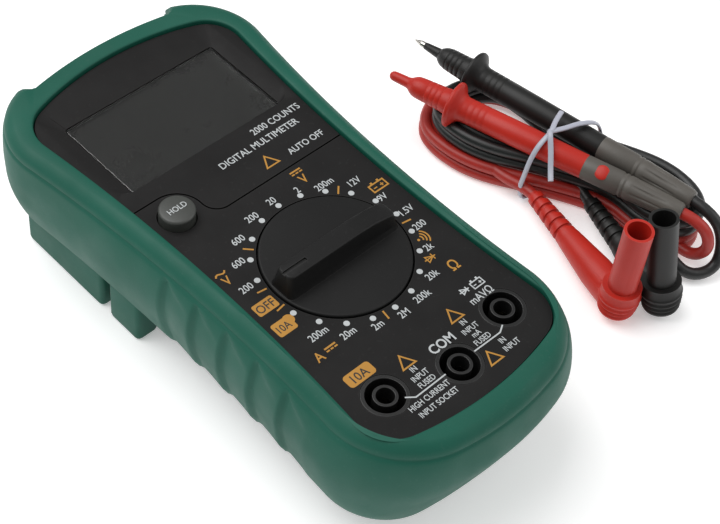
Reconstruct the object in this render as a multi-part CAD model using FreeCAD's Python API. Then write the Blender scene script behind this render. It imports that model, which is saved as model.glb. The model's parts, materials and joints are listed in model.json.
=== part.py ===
"""Hand-held digital multimeter in a rubber holster, with its pair of test leads tied beside it.

Millimetres. +Z is up out of the face, +Y runs from the sockets to the display, +X is to the right
of somebody reading the display. The origin is under the middle of the holster, on the surface that
the meter lies on.
"""
import FreeCAD, Part
import math
import os

V = FreeCAD.Vector

# ---- driving dimensions: face and case outline -------------------------------------------------
FACE_Z = 40.0            # height of the control face above the rest surface
WAIST_HALF = 26.3        # half width of the visible face at its narrowest
WAIST_Y = -8.0           # where the face is narrowest
SIDE_RADIUS = 500.0      # hollow curve of the long sides of the face
FACE_TOP = 67.0          # middle of the display end of the face
FACE_TOP_RADIUS = 75.0
FACE_BOTTOM = -64.3      # middle of the socket end of the face
FACE_BOTTOM_RADIUS = 85.0
FACE_CORNER = 9.5
SHOULDER = 2.0           # how far the case stands out under the holster lip
SHOULDER_Z = 38.3        # top of that shoulder
CASE_FLOOR_Z = 13.0      # underside of the case round its edge
CASE_EDGE = 3.0          # rounding along the lower edge of the case
SPLIT_Z = 22.0           # joint between the two case halves
CASE_WALL = 2.2
FACE_WALL = 2.8
BOSS_MEET_Z = 24.0       # where the front and rear screw bosses meet

# ---- driving dimensions: holster ----------------------------------------------------------------
HOLSTER_WAIST = 34.0     # half width at the widest level, at the waist
HOLSTER_SIDE_RADIUS = 620.0
HOLSTER_TOP = 75.3
HOLSTER_TOP_RADIUS = 300.0
HOLSTER_TOP_CORNER = 20.0
DISPLAY_END_Y = 55.0
HOLSTER_BOTTOM = -73.1
HOLSTER_BULGE = 20.0     # radius of the barrel curve of the walls
HOLSTER_WIDEST_Z = 28.0
HOLSTER_FLOOR_Z = 10.0
HOLSTER_LIP_Z = 41.3
# height, then how far in: sides, display end, socket end; end radius and corner radius at the sockets
HOLSTER_LEVELS = [(HOLSTER_FLOOR_Z, 4.6, 6.0, 6.4, 100.0, 16.0), (15.0, 2.2, 2.8, 4.4, 95.0, 16.5),
                  (22.0, 0.5, 0.5, 1.8, 85.0, 20.0), (HOLSTER_WIDEST_Z, 0.0, 0.0, 0.0, 75.0, 23.0),
                  (34.0, 0.9, 0.1, 0.5, 74.0, 23.0), (38.6, 2.9, 0.8, 1.8, 73.0, 22.0),
                  (HOLSTER_LIP_Z, 5.0, 2.7, 3.6, 72.0, 20.0)]
LIP_GAP = 0.35           # dark gap between the face and the lip
FIT_GAP = 0.1            # the case in its holster
FLUTE_COUNT = 5
FLUTE_PITCH = 10.2
FLUTE_FIRST_Y = 4.3
FLUTE_TUBE = 3.2
FLUTE_DEPTH = 1.3
NOTCH_HALF = 21.8        # recess in the display end, between the two raised corners
NOTCH_RADIUS = 100.0
NOTCH_Y = 71.4
POD_IN = 25.0
POD_OUT = 31.6
POD_SPANS = [(32.0, 62.0), (18.0, 29.4)]

# ---- driving dimensions: back of the case -------------------------------------------------------
PLATEAU_HALF = 23.9
PLATEAU_LOW = -57.0
PLATEAU_HIGH = 65.0
PLATEAU_Z = 3.4
PLATEAU_CORNER = 4.0
PLATEAU_WALL = 2.0

# ---- driving dimensions: display ----------------------------------------------------------------
WINDOW_HALF = 23.0
WINDOW_LOW = 29.5
WINDOW_HIGH = 55.5
WINDOW_TOP_Z = 39.0
WINDOW_THICK = 1.7
DISH_HALF = 27.0
DISH_HIGH = 64.6
BEZEL_DEPTH = 1.7        # thickness of the display plate let into the front cover
SEAM = 0.4               # groove between the display plate and the control face
SEAM_Y = 11.7
LCD_THICK = 2.6

# ---- driving dimensions: range switch -----------------------------------------------------------
DIAL_Y = -15.0
DIAL_R = 17.8
DIAL_HOLE_R = DIAL_R + 0.4
DIAL_TOP_Z = 40.5
DIAL_FLANGE_R = DIAL_R + 1.8
BAR_TOP_Z = 46.5
BAR_TOP_HALF = 2.4
BAR_FOOT_HALF = 4.1
BAR_REACH = DIAL_R - 0.6
POSITIONS = 20
ROTOR_R = DIAL_R - 2.8
HUB_R = 3.0
DETENT_BALL_R = 1.25
DETENT_REACH = DIAL_R + 0.8    # ball centres, measured from the dial axis
HUB_GAP = 0.05

# ---- driving dimensions: hold button ------------------------------------------------------------
HOLD_X = -20.3
HOLD_Y = 16.8
HOLD_R = 4.4
HOLD_HOLE_R = HOLD_R + 0.35
HOLD_FLANGE_R = HOLD_R + 1.2
HOLD_FLANGE_ROOM = 0.3
HOLD_TOP_Z = 43.2
HOLD_RING_R = HOLD_R + 2.5        # seam radius round the button

# ---- driving dimensions: sockets ----------------------------------------------------------------
SOCKET_PITCH_X = 18.45
SOCKET_Y = -50.3
COMMON_Y = -54.85
WELL_R = 4.55
WELL_WALL = 1.05
WELL_FLOOR_Z = 18.0
POST_R = 2.9
BORE_R = 2.1
CONTACT_R = 2.5
CONTACT_TOP_Z = 36.0

# ---- driving dimensions: inside -----------------------------------------------------------------
BOARD_TOP_Z = 31.0
BOARD_THICK = 1.6
BATTERY = (26.5, 48.5, 17.2)
BATTERY_LOW_Y = -2.0
BATTERY_GAP = 0.6
SCREW_PLACES = [(-19.5, 60.3), (19.5, 60.3), (-9.6, -44.0), (9.6, -44.0)]
FUSE_YS = [-25.0, -34.5]
FUSE_R = 2.5
FUSE_HALF = 10.0

# ---- driving dimensions: tilt stand -------------------------------------------------------------
STAND_HALF = 19.0
STAND_HINGE_Y = 50.0
STAND_HINGE_Z = 3.3
STAND_BARREL_R = 2.6
STAND_LENGTH = 68.0
STAND_THICK = 2.3
STAND_LOW_Z = 0.7
PIN_R = 1.25
PIN_GAP = 0.05
FOOT_R = 5.0
FOOT_Y = -50.5
FOOT_X = 16.0

# ---- driving dimensions: test leads -------------------------------------------------------------
CORD_R = 1.6
PROBE_Z = 16.0
RED_TIP = V(69.4, 35.0, PROBE_Z)
RED_END = V(92.7, -48.6, PROBE_Z)
BLACK_TIP = V(84.1, 40.2, PROBE_Z)
BLACK_END = V(98.3, -47.6, PROBE_Z)
PROBE_NEEDLE_R = 0.9
PROBE_NECK_R = 1.9
PROBE_NOSE_R = 3.7
PROBE_GUARD_R = 6.4
PROBE_BODY_R = 3.5
PROBE_SLEEVE = 28.0      # length of the grey rear sleeve
PROBE_SLEEVE_END_R = 2.5
RED_HANK_Z = (0.0, 6.0)
BLACK_HANK_Z = (6.1, 12.0)
HANK_OUTLINE = [(70.5, 25.0), (67.5, 15.0), (70.0, 2.0), (79.5, -13.0), (88.5, -28.0), (88.3, -41.0),
                (93.5, -49.3), (100.0, -50.3), (105.8, -44.5), (107.3, -33.0), (103.8, -20.0),
                (101.4, -10.0), (104.5, 3.0), (104.0, 17.0), (96.0, 27.0), (82.0, 30.5)]
RED_ROUTE = [V(92.7, -48.6, 16.0), V(94.4, -54.7, 15.8), V(95.0, -58.2, 9.0), V(94.3, -54.7, 2.9),
             V(94.0, -47.5, 3.0)]
BLACK_ROUTE = [V(98.3, -47.6, 16.0), V(99.4, -54.8, 15.9), V(100.4, -58.8, 12.5), V(99.6, -54.8, 9.1),
               V(98.2, -46.4, 9.05)]
PLUG_TUBE_R = 3.75
PLUG_TUBE_WALL = 0.75
PLUG_TUBE_LENGTH = 21.0
PLUG_PIN_R = 2.0
PLUG_PIN_ROOT = 3.0      # how deep the pin stands in the plug body
PLUG_PIN_SETBACK = 8.0   # how far the pin ends below the mouth of its shroud
RED_PLUG_FOOT = V(66.2, -52.3, 11.5)
RED_PLUG_TILT = V(0.0, 0.0, 1.0)
RED_RELIEF_END = V(76.0, -14.0, 5.0)
BLACK_PLUG_FOOT = V(75.6, -57.4, 11.0)
BLACK_PLUG_TILT = V(-0.045, 0.20, 1.0)
BLACK_RELIEF_END = V(86.0, -25.0, 5.0)
TIE_MIDDLE = V(88.6, -12.0, 0.0)
TIE_AXIS = V(-0.17, -1.0, 0.0)
TIE_WIDTH = 2.2
TIE_THICK = 0.8

SHAPES = {}


# ---- helpers ------------------------------------------------------------------------------------
def box(x0, x1, y0, y1, z0, z1):
    """A box between two corners."""
    return Part.makeBox(x1 - x0, y1 - y0, z1 - z0, V(x0, y0, z0))


def rod(x, y, z0, z1, radius):
    """An upright cylinder."""
    return Part.makeCylinder(radius, z1 - z0, V(x, y, z0))


def tube(x, y, z0, z1, outer, inner):
    """An upright tube."""
    return rod(x, y, z0, z1, outer).cut(rod(x, y, z0, z1, inner))


def arc_edge(a, b, c):
    """A round edge through three points."""
    return Part.Arc(a, b, c).toShape()


def prism(wire, height):
    """A straight solid over a closed wire."""
    return Part.Face(wire).extrude(V(0, 0, height))


def rounded_box(x0, x1, y0, y1, z0, z1, radius):
    """A box with rounded upright edges."""
    block = box(x0, x1, y0, y1, z0, z1)
    upright = [e for e in block.Edges if abs(e.Vertexes[0].X - e.Vertexes[1].X) < 1e-6
               and abs(e.Vertexes[0].Y - e.Vertexes[1].Y) < 1e-6]
    return block.makeFillet(radius, upright)


def loft(wires):
    """A smooth solid through closed wires."""
    return Part.makeLoft(wires, True, False)


def outline(waist, top, bottom, radii, corners, z):
    """Closed outline of the case or holster: two hollow sides, two crowned ends, round corners."""
    upper_side, lower_side, top_r, bottom_r = radii

    def side_x(y):
        side_r = upper_side if y > WAIST_Y else lower_side
        return waist + side_r - math.sqrt(side_r ** 2 - (y - WAIST_Y) ** 2)

    def meet(end, end_r, sign):
        y = end
        for _ in range(30):
            x = side_x(y)
            y = end - sign * (end_r - math.sqrt(end_r ** 2 - x ** 2))
        return x, y

    tx, ty = meet(top, top_r, 1.0)
    bx, by = meet(bottom, bottom_r, -1.0)
    right = arc_edge(V(bx, by, z), V(waist, WAIST_Y, z), V(tx, ty, z))
    upper = arc_edge(V(tx, ty, z), V(0, top, z), V(-tx, ty, z))
    left = arc_edge(V(-tx, ty, z), V(-waist, WAIST_Y, z), V(-bx, by, z))
    lower = arc_edge(V(-bx, by, z), V(0, bottom, z), V(bx, by, z))
    block = prism(Part.Wire([right, upper, left, lower]), 1.0)
    for corner, sign in zip(corners, (1, -1)):
        reach = tx if sign > 0 else bx
        upright = [e for e in block.Edges if abs(e.Vertexes[0].Z - e.Vertexes[-1].Z) > 0.5
                   and e.CenterOfMass.y * sign > 0 and abs(abs(e.CenterOfMass.x) - reach) < 0.1]
        block = block.makeFillet(corner, upright)
    base = min(block.Faces, key=lambda f: f.CenterOfMass.z)
    return base.OuterWire


def face_outline(offset, z):
    """The outline of the visible face, grown by an offset."""
    side_r = SIDE_RADIUS - offset
    radii = (side_r, side_r, FACE_TOP_RADIUS + offset, FACE_BOTTOM_RADIUS + offset)
    corner = FACE_CORNER + offset
    return outline(WAIST_HALF + offset, FACE_TOP + offset, FACE_BOTTOM - offset, radii, (corner, corner), z)


def holster_outline(z, side, far, near, near_radius, near_corner):
    """The outer outline of the holster at one level, drawn in by its own amount at the sides and ends."""
    reach = DISPLAY_END_Y - WAIST_Y
    flare = reach ** 2 / (2 * HOLSTER_SIDE_RADIUS) + side - far
    radii = (reach ** 2 / (2 * flare), HOLSTER_SIDE_RADIUS, HOLSTER_TOP_RADIUS, near_radius)
    return outline(HOLSTER_WAIST - side, HOLSTER_TOP - far, HOLSTER_BOTTOM + near, radii,
                   (HOLSTER_TOP_CORNER - far, near_corner), z)


def case_blank(gap):
    """The whole outside of the case below the face, grown by a gap."""
    low = CASE_FLOOR_Z - gap
    body = prism(face_outline(SHOULDER + gap, low), SHOULDER_Z + gap - low)
    rim = [e for e in body.Edges if abs(e.BoundBox.ZMin - low) < 1e-4 and abs(e.BoundBox.ZMax - low) < 1e-4]
    return body.makeFillet(CASE_EDGE, rim)


def plateau_blank(gap, z0, z1):
    """The raised middle of the case back."""
    return rounded_box(-PLATEAU_HALF - gap, PLATEAU_HALF + gap, PLATEAU_LOW - gap, PLATEAU_HIGH + gap,
                       z0, z1, PLATEAU_CORNER + gap)


def seam_region(shift, z0, z1):
    """The part of the face that belongs to the display plate; it steps up round the hold button."""
    ring = HOLD_RING_R + shift
    cove = 4.5 - shift
    x_side = HOLD_X + ring
    y_low = SEAM_Y + shift
    far = 60.0
    s = math.sqrt(0.5)
    points = [V(far, y_low, z0), V(x_side + cove, y_low, z0)]
    edges = [Part.LineSegment(points[0], points[1]).toShape()]
    cove_mid = V(x_side + cove * (1 - s), y_low + cove * (1 - s), z0)
    edges.append(arc_edge(points[1], cove_mid, V(x_side, y_low + cove, z0)))
    edges.append(Part.LineSegment(V(x_side, y_low + cove, z0), V(x_side, HOLD_Y, z0)).toShape())
    edges.append(arc_edge(V(x_side, HOLD_Y, z0), V(HOLD_X + ring * s, HOLD_Y + ring * s, z0),
                          V(HOLD_X, HOLD_Y + ring, z0)))
    corners = [V(HOLD_X, HOLD_Y + ring, z0), V(-far, HOLD_Y + ring, z0), V(-far, 100, z0),
               V(far, 100, z0), points[0]]
    for a, b in zip(corners, corners[1:]):
        edges.append(Part.LineSegment(a, b).toShape())
    return prism(Part.Wire(edges), z1 - z0)


def rounded_rect(x0, x1, y0, y1, radius, z):
    """A closed rounded rectangle at one height."""
    s = radius * (1 - math.sqrt(0.5))
    pts = [V(x0 + radius, y0, z), V(x1 - radius, y0, z), V(x1, y0 + radius, z), V(x1, y1 - radius, z),
           V(x1 - radius, y1, z), V(x0 + radius, y1, z), V(x0, y1 - radius, z), V(x0, y0 + radius, z)]
    mids = [V(x1 - s, y0 + s, z), V(x1 - s, y1 - s, z), V(x0 + s, y1 - s, z), V(x0 + s, y0 + s, z)]
    edges = []
    for i in range(4):
        edges.append(Part.LineSegment(pts[2 * i], pts[2 * i + 1]).toShape())
        edges.append(arc_edge(pts[2 * i + 1], mids[i], pts[(2 * i + 2) % 8]))
    return Part.Wire(edges)


def turned(profile, start, direction):
    """A solid of revolution: profile gives (distance along the axis, radius) from the start point."""
    pts = [V(profile[0][0], 0, 0)] + [V(a, r, 0) for a, r in profile] + [V(profile[-1][0], 0, 0)]
    wire = Part.makePolygon(pts + [pts[0]])
    solid = Part.Face(wire).revolve(V(0, 0, 0), V(1, 0, 0), 360)
    turn = FreeCAD.Rotation(V(1, 0, 0), direction)
    solid.Placement = FreeCAD.Placement(start, turn)
    return solid


def route_tube(points, radius, name):
    """A tube along straight runs joined by tangent arcs."""
    edges = []
    last = points[0]
    for before, here, after in zip(points, points[1:], points[2:]):
        into = (here - before)
        out = (after - here)
        turn = into.getAngle(out)
        trim = 0.45 * min(into.Length, out.Length)
        bend = trim / math.tan(turn / 2)
        into.normalize()
        out.normalize()
        start = here - into * trim
        end = here + out * trim
        towards = (out - into).normalize()
        centre = here + towards * (bend / math.cos(turn / 2))
        middle = centre - towards * bend
        print(name, "bend radius %.1f" % bend)
        edges.append(Part.LineSegment(last, start).toShape())
        edges.append(arc_edge(start, middle, end))
        last = end
    edges.append(Part.LineSegment(last, points[-1]).toShape())
    path = Part.Wire(edges)
    ring = Part.Wire(Part.Circle(points[0], points[1] - points[0], radius).toShape())
    swept = path.makePipeShell([ring], True, True)
    ideal = math.pi * radius ** 2 * path.Length
    print(name, "length %.1f, volume %.1f against %.1f" % (path.Length, swept.Volume, ideal))
    return swept


def keep(node, shape):
    """Remember the shape of a node."""
    SHAPES[node] = shape


# ---- casings ------------------------------------------------------------------------------------
def make_holster():
    """The rubber holster: barrel-shaped walls, finger grips, lip over the face, open back."""
    body = loft([holster_outline(*level) for level in HOLSTER_LEVELS])
    for low, high in POD_SPANS:
        for side in (-1, 1):
            inner, outer = sorted((side * POD_IN, side * POD_OUT))
            pod = box(inner, outer, low, high, 0.0, 20.0)
            outer_x = side * POD_OUT
            edges = [e for e in pod.Edges if abs(e.CenterOfMass.x - outer_x) < 1e-6
                     and (e.BoundBox.ZMax < 1e-3 or e.BoundBox.ZLength > 19)]
            body = body.fuse(pod.makeFillet(1.6, edges))
    body = body.cut(case_blank(FIT_GAP))
    body = body.cut(prism(face_outline(LIP_GAP, SHOULDER_Z), 10.0))
    body = body.cut(plateau_blank(0.3, -1.0, CASE_FLOOR_Z + 1.0))
    notch = rod(0, NOTCH_Y - NOTCH_RADIUS, 3.0, HOLSTER_LIP_Z + 5, NOTCH_RADIUS)
    body = body.cut(box(-NOTCH_HALF, NOTCH_HALF, 50, 85, 3.0, HOLSTER_LIP_Z + 1).cut(notch))
    for side in (-1, 1):
        for i in range(FLUTE_COUNT):
            y = FLUTE_FIRST_Y - i * FLUTE_PITCH
            wall = HOLSTER_WAIST + HOLSTER_SIDE_RADIUS - math.sqrt(
                HOLSTER_SIDE_RADIUS ** 2 - (y - WAIST_Y) ** 2)
            ring_r = HOLSTER_BULGE + FLUTE_TUBE - FLUTE_DEPTH
            centre = V(side * (wall - HOLSTER_BULGE), y, HOLSTER_WIDEST_Z - 1.5)
            flute = Part.makeTorus(ring_r, FLUTE_TUBE, centre, V(0, 1, 0))
            body = body.cut(flute.common(box(-60, 60, y - 8, y + 8, 0, HOLSTER_LIP_Z - 4.5)))
    keep("holster", body)


def make_front_cover():
    """The front half of the case with the control face."""
    upper = case_blank(0.0).common(box(-60, 60, -90, 90, SPLIT_Z, FACE_Z))
    cover = upper.fuse(prism(face_outline(0.0, SHOULDER_Z - 0.5), FACE_Z - SHOULDER_Z + 0.5))
    hollow = prism(face_outline(SHOULDER - CASE_WALL, SPLIT_Z - 1), FACE_Z - FACE_WALL - SPLIT_Z + 1)
    cover = cover.cut(hollow)
    cover = cover.cut(seam_region(0.0, FACE_Z - BEZEL_DEPTH, FACE_Z + 5))
    cover = cover.cut(prism(rounded_rect(-WINDOW_HALF + 0.05, WINDOW_HALF - 0.05, WINDOW_LOW + 0.05,
                                         WINDOW_HIGH - 0.05, 1.0, FACE_Z - 8), 10))
    for x, y in SCREW_PLACES:
        boss = rod(x, y, BOSS_MEET_Z, FACE_Z - FACE_WALL + 0.1, 3.3)
        cover = cover.fuse(boss.common(prism(face_outline(SHOULDER - 0.5, SPLIT_Z), 20)))
    for x, y in SCREW_PLACES:
        cover = cover.cut(rod(x, y, BOSS_MEET_Z - 1, 35.0, 1.4))
    ring = tube(0, DIAL_Y, 33.4, FACE_Z - FACE_WALL + 0.1, 22.0, 20.3)
    for i in range(POSITIONS):
        angle = math.radians(360.0 * i / POSITIONS)
        ring = ring.cut(rod(20.3 * math.cos(angle), DIAL_Y + 20.3 * math.sin(angle), 30, 37.3, 1.3))
    cover = cover.fuse(ring)
    cover = cover.cut(rod(0, DIAL_Y, 30, 45, DIAL_HOLE_R))
    cover = cover.cut(rod(HOLD_X, HOLD_Y, 30, 45, HOLD_HOLE_R))
    cover = cover.cut(rod(HOLD_X, HOLD_Y, 30, FACE_Z - FACE_WALL, HOLD_FLANGE_R + HOLD_FLANGE_ROOM))
    for x, y in socket_places().values():
        cover = cover.cut(rod(x, y, 20, 45, WELL_R + WELL_WALL))
    keep("front_cover", cover)


def make_rear_cover():
    """The rear half of the case with its raised back, battery bay, screw bosses and hinge pocket."""
    lower = case_blank(0.0).common(box(-60, 60, -90, 90, 0, SPLIT_Z))
    shell = lower.fuse(plateau_blank(0.0, PLATEAU_Z, CASE_FLOOR_Z + 1))
    shell = shell.cut(prism(face_outline(SHOULDER - CASE_WALL - 1.5, CASE_FLOOR_Z + CASE_WALL),
                            SPLIT_Z - CASE_FLOOR_Z))
    w = PLATEAU_WALL
    shell = shell.cut(rounded_box(-PLATEAU_HALF + w, PLATEAU_HALF - w, PLATEAU_LOW + w,
                                  PLATEAU_HIGH - w, PLATEAU_Z + w, 16, 2.0))
    bx = BATTERY[0] / 2 + BATTERY_GAP
    b0 = BATTERY_LOW_Y - BATTERY_GAP
    b1 = BATTERY_LOW_Y + BATTERY[1] + 7.0
    ceiling = PLATEAU_Z + w + BATTERY[2] + 0.8
    bay = box(-bx - 1.4, bx + 1.4, b0 - 1.4, b1 + 1.4, PLATEAU_Z + 0.5, ceiling + 1.4)
    barrel_room = box(-STAND_HALF - 0.6 - w, STAND_HALF + 0.6 + w, STAND_HINGE_Y - 3.2 - 1.4,
                      STAND_HINGE_Y + 3.2 + 1.4, PLATEAU_Z + 0.5, STAND_HINGE_Z + 3.2 + 1.4)
    shell = shell.fuse(bay).fuse(barrel_room)
    for x, y in SCREW_PLACES:
        shell = shell.fuse(rod(x, y, PLATEAU_Z + 0.5, BOSS_MEET_Z, 3.8))
    shell = shell.cut(box(-bx, bx, b0, b1, PLATEAU_Z + 2.4, ceiling))
    shell = shell.cut(box(-bx + 0.9, bx - 0.9, b0 + 1.2, 45.0, PLATEAU_Z - 1, PLATEAU_Z + 3))
    shell = shell.cut(box(-bx - 1.0, bx + 1.0, b0 - 1.0, 45.6, PLATEAU_Z - 1, PLATEAU_Z + 1.6))
    shell = shell.cut(box(-STAND_HALF - 0.6, STAND_HALF + 0.6, STAND_HINGE_Y - 3.2, STAND_HINGE_Y + 3.2,
                          PLATEAU_Z - 1, STAND_HINGE_Z + 3.2))
    shell = shell.cut(Part.makeCylinder(PIN_R, 2 * (STAND_HALF + 2.6), V(-STAND_HALF - 2.6, STAND_HINGE_Y,
                                                                        STAND_HINGE_Z), V(1, 0, 0)))
    shell = shell.cut(rod(0, b0 - 4.6, PLATEAU_Z - 1, PLATEAU_Z + 6, 1.2))
    shell = shell.cut(box(-4, 4, b0 - 8.0, b0 - 1.0, PLATEAU_Z - 1, PLATEAU_Z + 1.6))
    for x, y in SCREW_PLACES:
        shell = shell.cut(rod(x, y, PLATEAU_Z - 1, PLATEAU_Z + 7, 3.05))
        shell = shell.cut(rod(x, y, PLATEAU_Z, BOSS_MEET_Z + 1, 1.6))
    for x, y in socket_places().values():
        shell = shell.cut(rod(x, y, WELL_FLOOR_Z - 1.5, 40, WELL_R + WELL_WALL + 0.3))
    shell = shell.cut(box(-3, 3, b1 - 0.5, b1 + 2.5, 18.0, ceiling - 0.5))
    keep("rear_cover", shell)


def make_display():
    """Display plate, clear window, liquid crystal cell, its holder and contact strip."""
    plate = prism(face_outline(0.0, FACE_Z - BEZEL_DEPTH), BEZEL_DEPTH)
    plate = plate.common(seam_region(SEAM, FACE_Z - 5, FACE_Z + 5))
    dish = Part.makeLoft([rounded_rect(-WINDOW_HALF, WINDOW_HALF, WINDOW_LOW, WINDOW_HIGH, 1.0, WINDOW_TOP_Z),
                          rounded_rect(-DISH_HALF, DISH_HALF, WINDOW_LOW - 0.3, DISH_HIGH, 4.5,
                                       FACE_Z + 0.02)], True, True)
    plate = plate.cut(dish)
    plate = plate.cut(prism(rounded_rect(-WINDOW_HALF, WINDOW_HALF, WINDOW_LOW, WINDOW_HIGH, 1.0, 30), 20))
    keep("display_plate", plate)
    low = WINDOW_TOP_Z - WINDOW_THICK
    pane = prism(rounded_rect(-WINDOW_HALF + 0.1, WINDOW_HALF - 0.1, WINDOW_LOW + 0.1, WINDOW_HIGH - 0.1,
                              0.9, low), WINDOW_THICK)
    keep("display_window", pane)
    cell_top = low - 0.5
    cell_low = cell_top - LCD_THICK
    keep("lcd_cell", box(-24.2, 24.2, WINDOW_LOW - 1.2, WINDOW_HIGH + 0.9, cell_low, cell_top))
    frame = box(-25.6, 25.6, WINDOW_LOW - 2.8, WINDOW_HIGH + 1.3, BOARD_TOP_Z, cell_top)
    frame = frame.cut(box(-24.3, 24.3, WINDOW_LOW - 1.3, WINDOW_HIGH + 1.0, cell_low, cell_top + 1))
    frame = frame.cut(box(-22.5, 22.5, WINDOW_LOW + 1.0, WINDOW_HIGH - 3.4, BOARD_TOP_Z - 1, cell_top))
    strip_y = WINDOW_HIGH - 2.2
    frame = frame.cut(box(-21.1, 21.1, strip_y - 0.1, strip_y + 1.9, BOARD_TOP_Z - 1, cell_top))
    keep("lcd_holder", frame)
    keep("contact_strip", box(-21.0, 21.0, strip_y, strip_y + 1.8, BOARD_TOP_Z, cell_low))


# ---- range switch -------------------------------------------------------------------------------
def make_range_switch():
    """The knob with its bar grip, the rotor under it, wipers and the two-ball detent."""
    flange_low = FACE_Z - FACE_WALL - 2.0
    knob = rod(0, DIAL_Y, flange_low, DIAL_TOP_Z, DIAL_R)
    rim = [e for e in knob.Edges if abs(e.BoundBox.ZMin - DIAL_TOP_Z) < 1e-6]
    knob = knob.makeFillet(0.5, rim)
    knob = knob.fuse(rod(0, DIAL_Y, flange_low, FACE_Z - FACE_WALL - 0.4, DIAL_FLANGE_R))
    foot = DIAL_TOP_Z - 0.6
    sections = []
    for z, half in ((foot, BAR_FOOT_HALF), (foot + 2.0, BAR_TOP_HALF + 0.8), (BAR_TOP_Z, BAR_TOP_HALF)):
        reach = BAR_REACH - 0.12 * (z - foot)
        sections.append(rounded_rect(-reach, reach, DIAL_Y - half, DIAL_Y + half, 1.5, z))
    bar = Part.makeLoft(sections, True, True)
    top = [e for e in bar.Edges if abs(e.BoundBox.ZMin - BAR_TOP_Z) < 1e-4]
    bar = bar.makeFillet(0.5, top)
    knob = knob.fuse(bar).common(rod(0, DIAL_Y, 30, 60, DIAL_FLANGE_R))
    pointer = box(0.6 - BAR_REACH, 7.6 - BAR_REACH, DIAL_Y - 0.45, DIAL_Y + 0.45,
                  BAR_TOP_Z - 0.45, BAR_TOP_Z + 1)
    knob = knob.cut(pointer)
    keep("range_knob", knob)
    rotor_low = BOARD_TOP_Z + 1.4
    rotor = rod(0, DIAL_Y, rotor_low, flange_low, ROTOR_R)
    rotor = rotor.fuse(rod(0, DIAL_Y, BOARD_TOP_Z - BOARD_THICK - 1.5, rotor_low, HUB_R))
    arms = box(-2.6, 2.6, DIAL_Y - DETENT_REACH - 1.4, DIAL_Y + DETENT_REACH + 1.4, rotor_low, flange_low)
    rotor = rotor.fuse(arms.common(rod(0, DIAL_Y, 20, 60, DETENT_REACH - 0.3)))
    for side in (-1, 1):
        hole_start = V(0, DIAL_Y + side * (DETENT_REACH - 7.0), rotor_low + 1.55)
        rotor = rotor.cut(Part.makeCylinder(1.35, 8.0, hole_start, V(0, side, 0)))
    keep("switch_rotor", rotor)
    balls = []
    springs = []
    for side in (-1, 1):
        centre = V(0, DIAL_Y + side * DETENT_REACH, rotor_low + 1.55)
        balls.append(Part.makeSphere(DETENT_BALL_R, centre))
        start = V(0, DIAL_Y + side * (DETENT_REACH - 6.8), rotor_low + 1.55)
        coil = Part.makeCylinder(1.15, 5.4, start, V(0, side, 0))
        springs.append(coil.cut(Part.makeCylinder(0.8, 5.4, start, V(0, side, 0))))
    keep("detent_balls", Part.makeCompound(balls))
    keep("detent_springs", Part.makeCompound(springs))
    wipers = []
    for radius, angle in ((HUB_R + 3.0, 0.0), (HUB_R + 6.5, 120.0), (ROTOR_R - 2.5, 240.0)):
        a = math.radians(angle)
        wiper = box(-3.0, 3.0, -1.1, 1.1, 0.0, 0.35)
        for side in (-1, 1):
            bump = Part.makeCylinder(0.9, 2.2, V(side * 2.1, -1.1, 0.35), V(0, 1, 0))
            wiper = wiper.fuse(bump.common(box(-5, 5, -2, 2, -0.55, 0.35)))
        wiper.rotate(V(0, 0, 0), V(0, 0, 1), angle + 90)
        wiper.translate(V(radius * math.cos(a), DIAL_Y + radius * math.sin(a), rotor_low - 0.35))
        wipers.append(wiper)
    keep("switch_wipers", Part.makeCompound(wipers))


# ---- hold button --------------------------------------------------------------------------------
def make_hold_button():
    """The hold button, the small switch under it and the switch's own plunger."""
    flange_top = FACE_Z - FACE_WALL - 0.05
    button = rod(HOLD_X, HOLD_Y, flange_top - 1.4, HOLD_TOP_Z, HOLD_R)
    dome_r = 26.0
    dome = Part.makeSphere(dome_r, V(HOLD_X, HOLD_Y, HOLD_TOP_Z - dome_r))
    button = button.common(dome)
    crown = [e for e in button.Edges if e.BoundBox.ZMin > HOLD_TOP_Z - 1.2 and e.Length > 20]
    button = button.makeFillet(0.7, crown)
    button = button.fuse(rod(HOLD_X, HOLD_Y, flange_top - 1.4, flange_top, HOLD_FLANGE_R))
    button = button.fuse(rod(HOLD_X, HOLD_Y, BOARD_TOP_Z + 3.6, flange_top - 1.4, 1.7))
    keep("hold_button", button)
    switch = box(HOLD_X - 3, HOLD_X + 3, HOLD_Y - 3, HOLD_Y + 3, BOARD_TOP_Z, BOARD_TOP_Z + 2.2)
    keep("hold_switch", switch.cut(rod(HOLD_X, HOLD_Y, BOARD_TOP_Z + 0.4, 40, 2.0)))
    keep("hold_plunger", rod(HOLD_X, HOLD_Y, BOARD_TOP_Z + 1.7, BOARD_TOP_Z + 3.6, 1.65))


# ---- sockets ------------------------------------------------------------------------------------
def socket_places():
    """Names and centres of the three input sockets."""
    return {"ten_amp": (-SOCKET_PITCH_X, SOCKET_Y), "common": (0.0, COMMON_Y),
            "volt_ohm": (SOCKET_PITCH_X, SOCKET_Y)}


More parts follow.
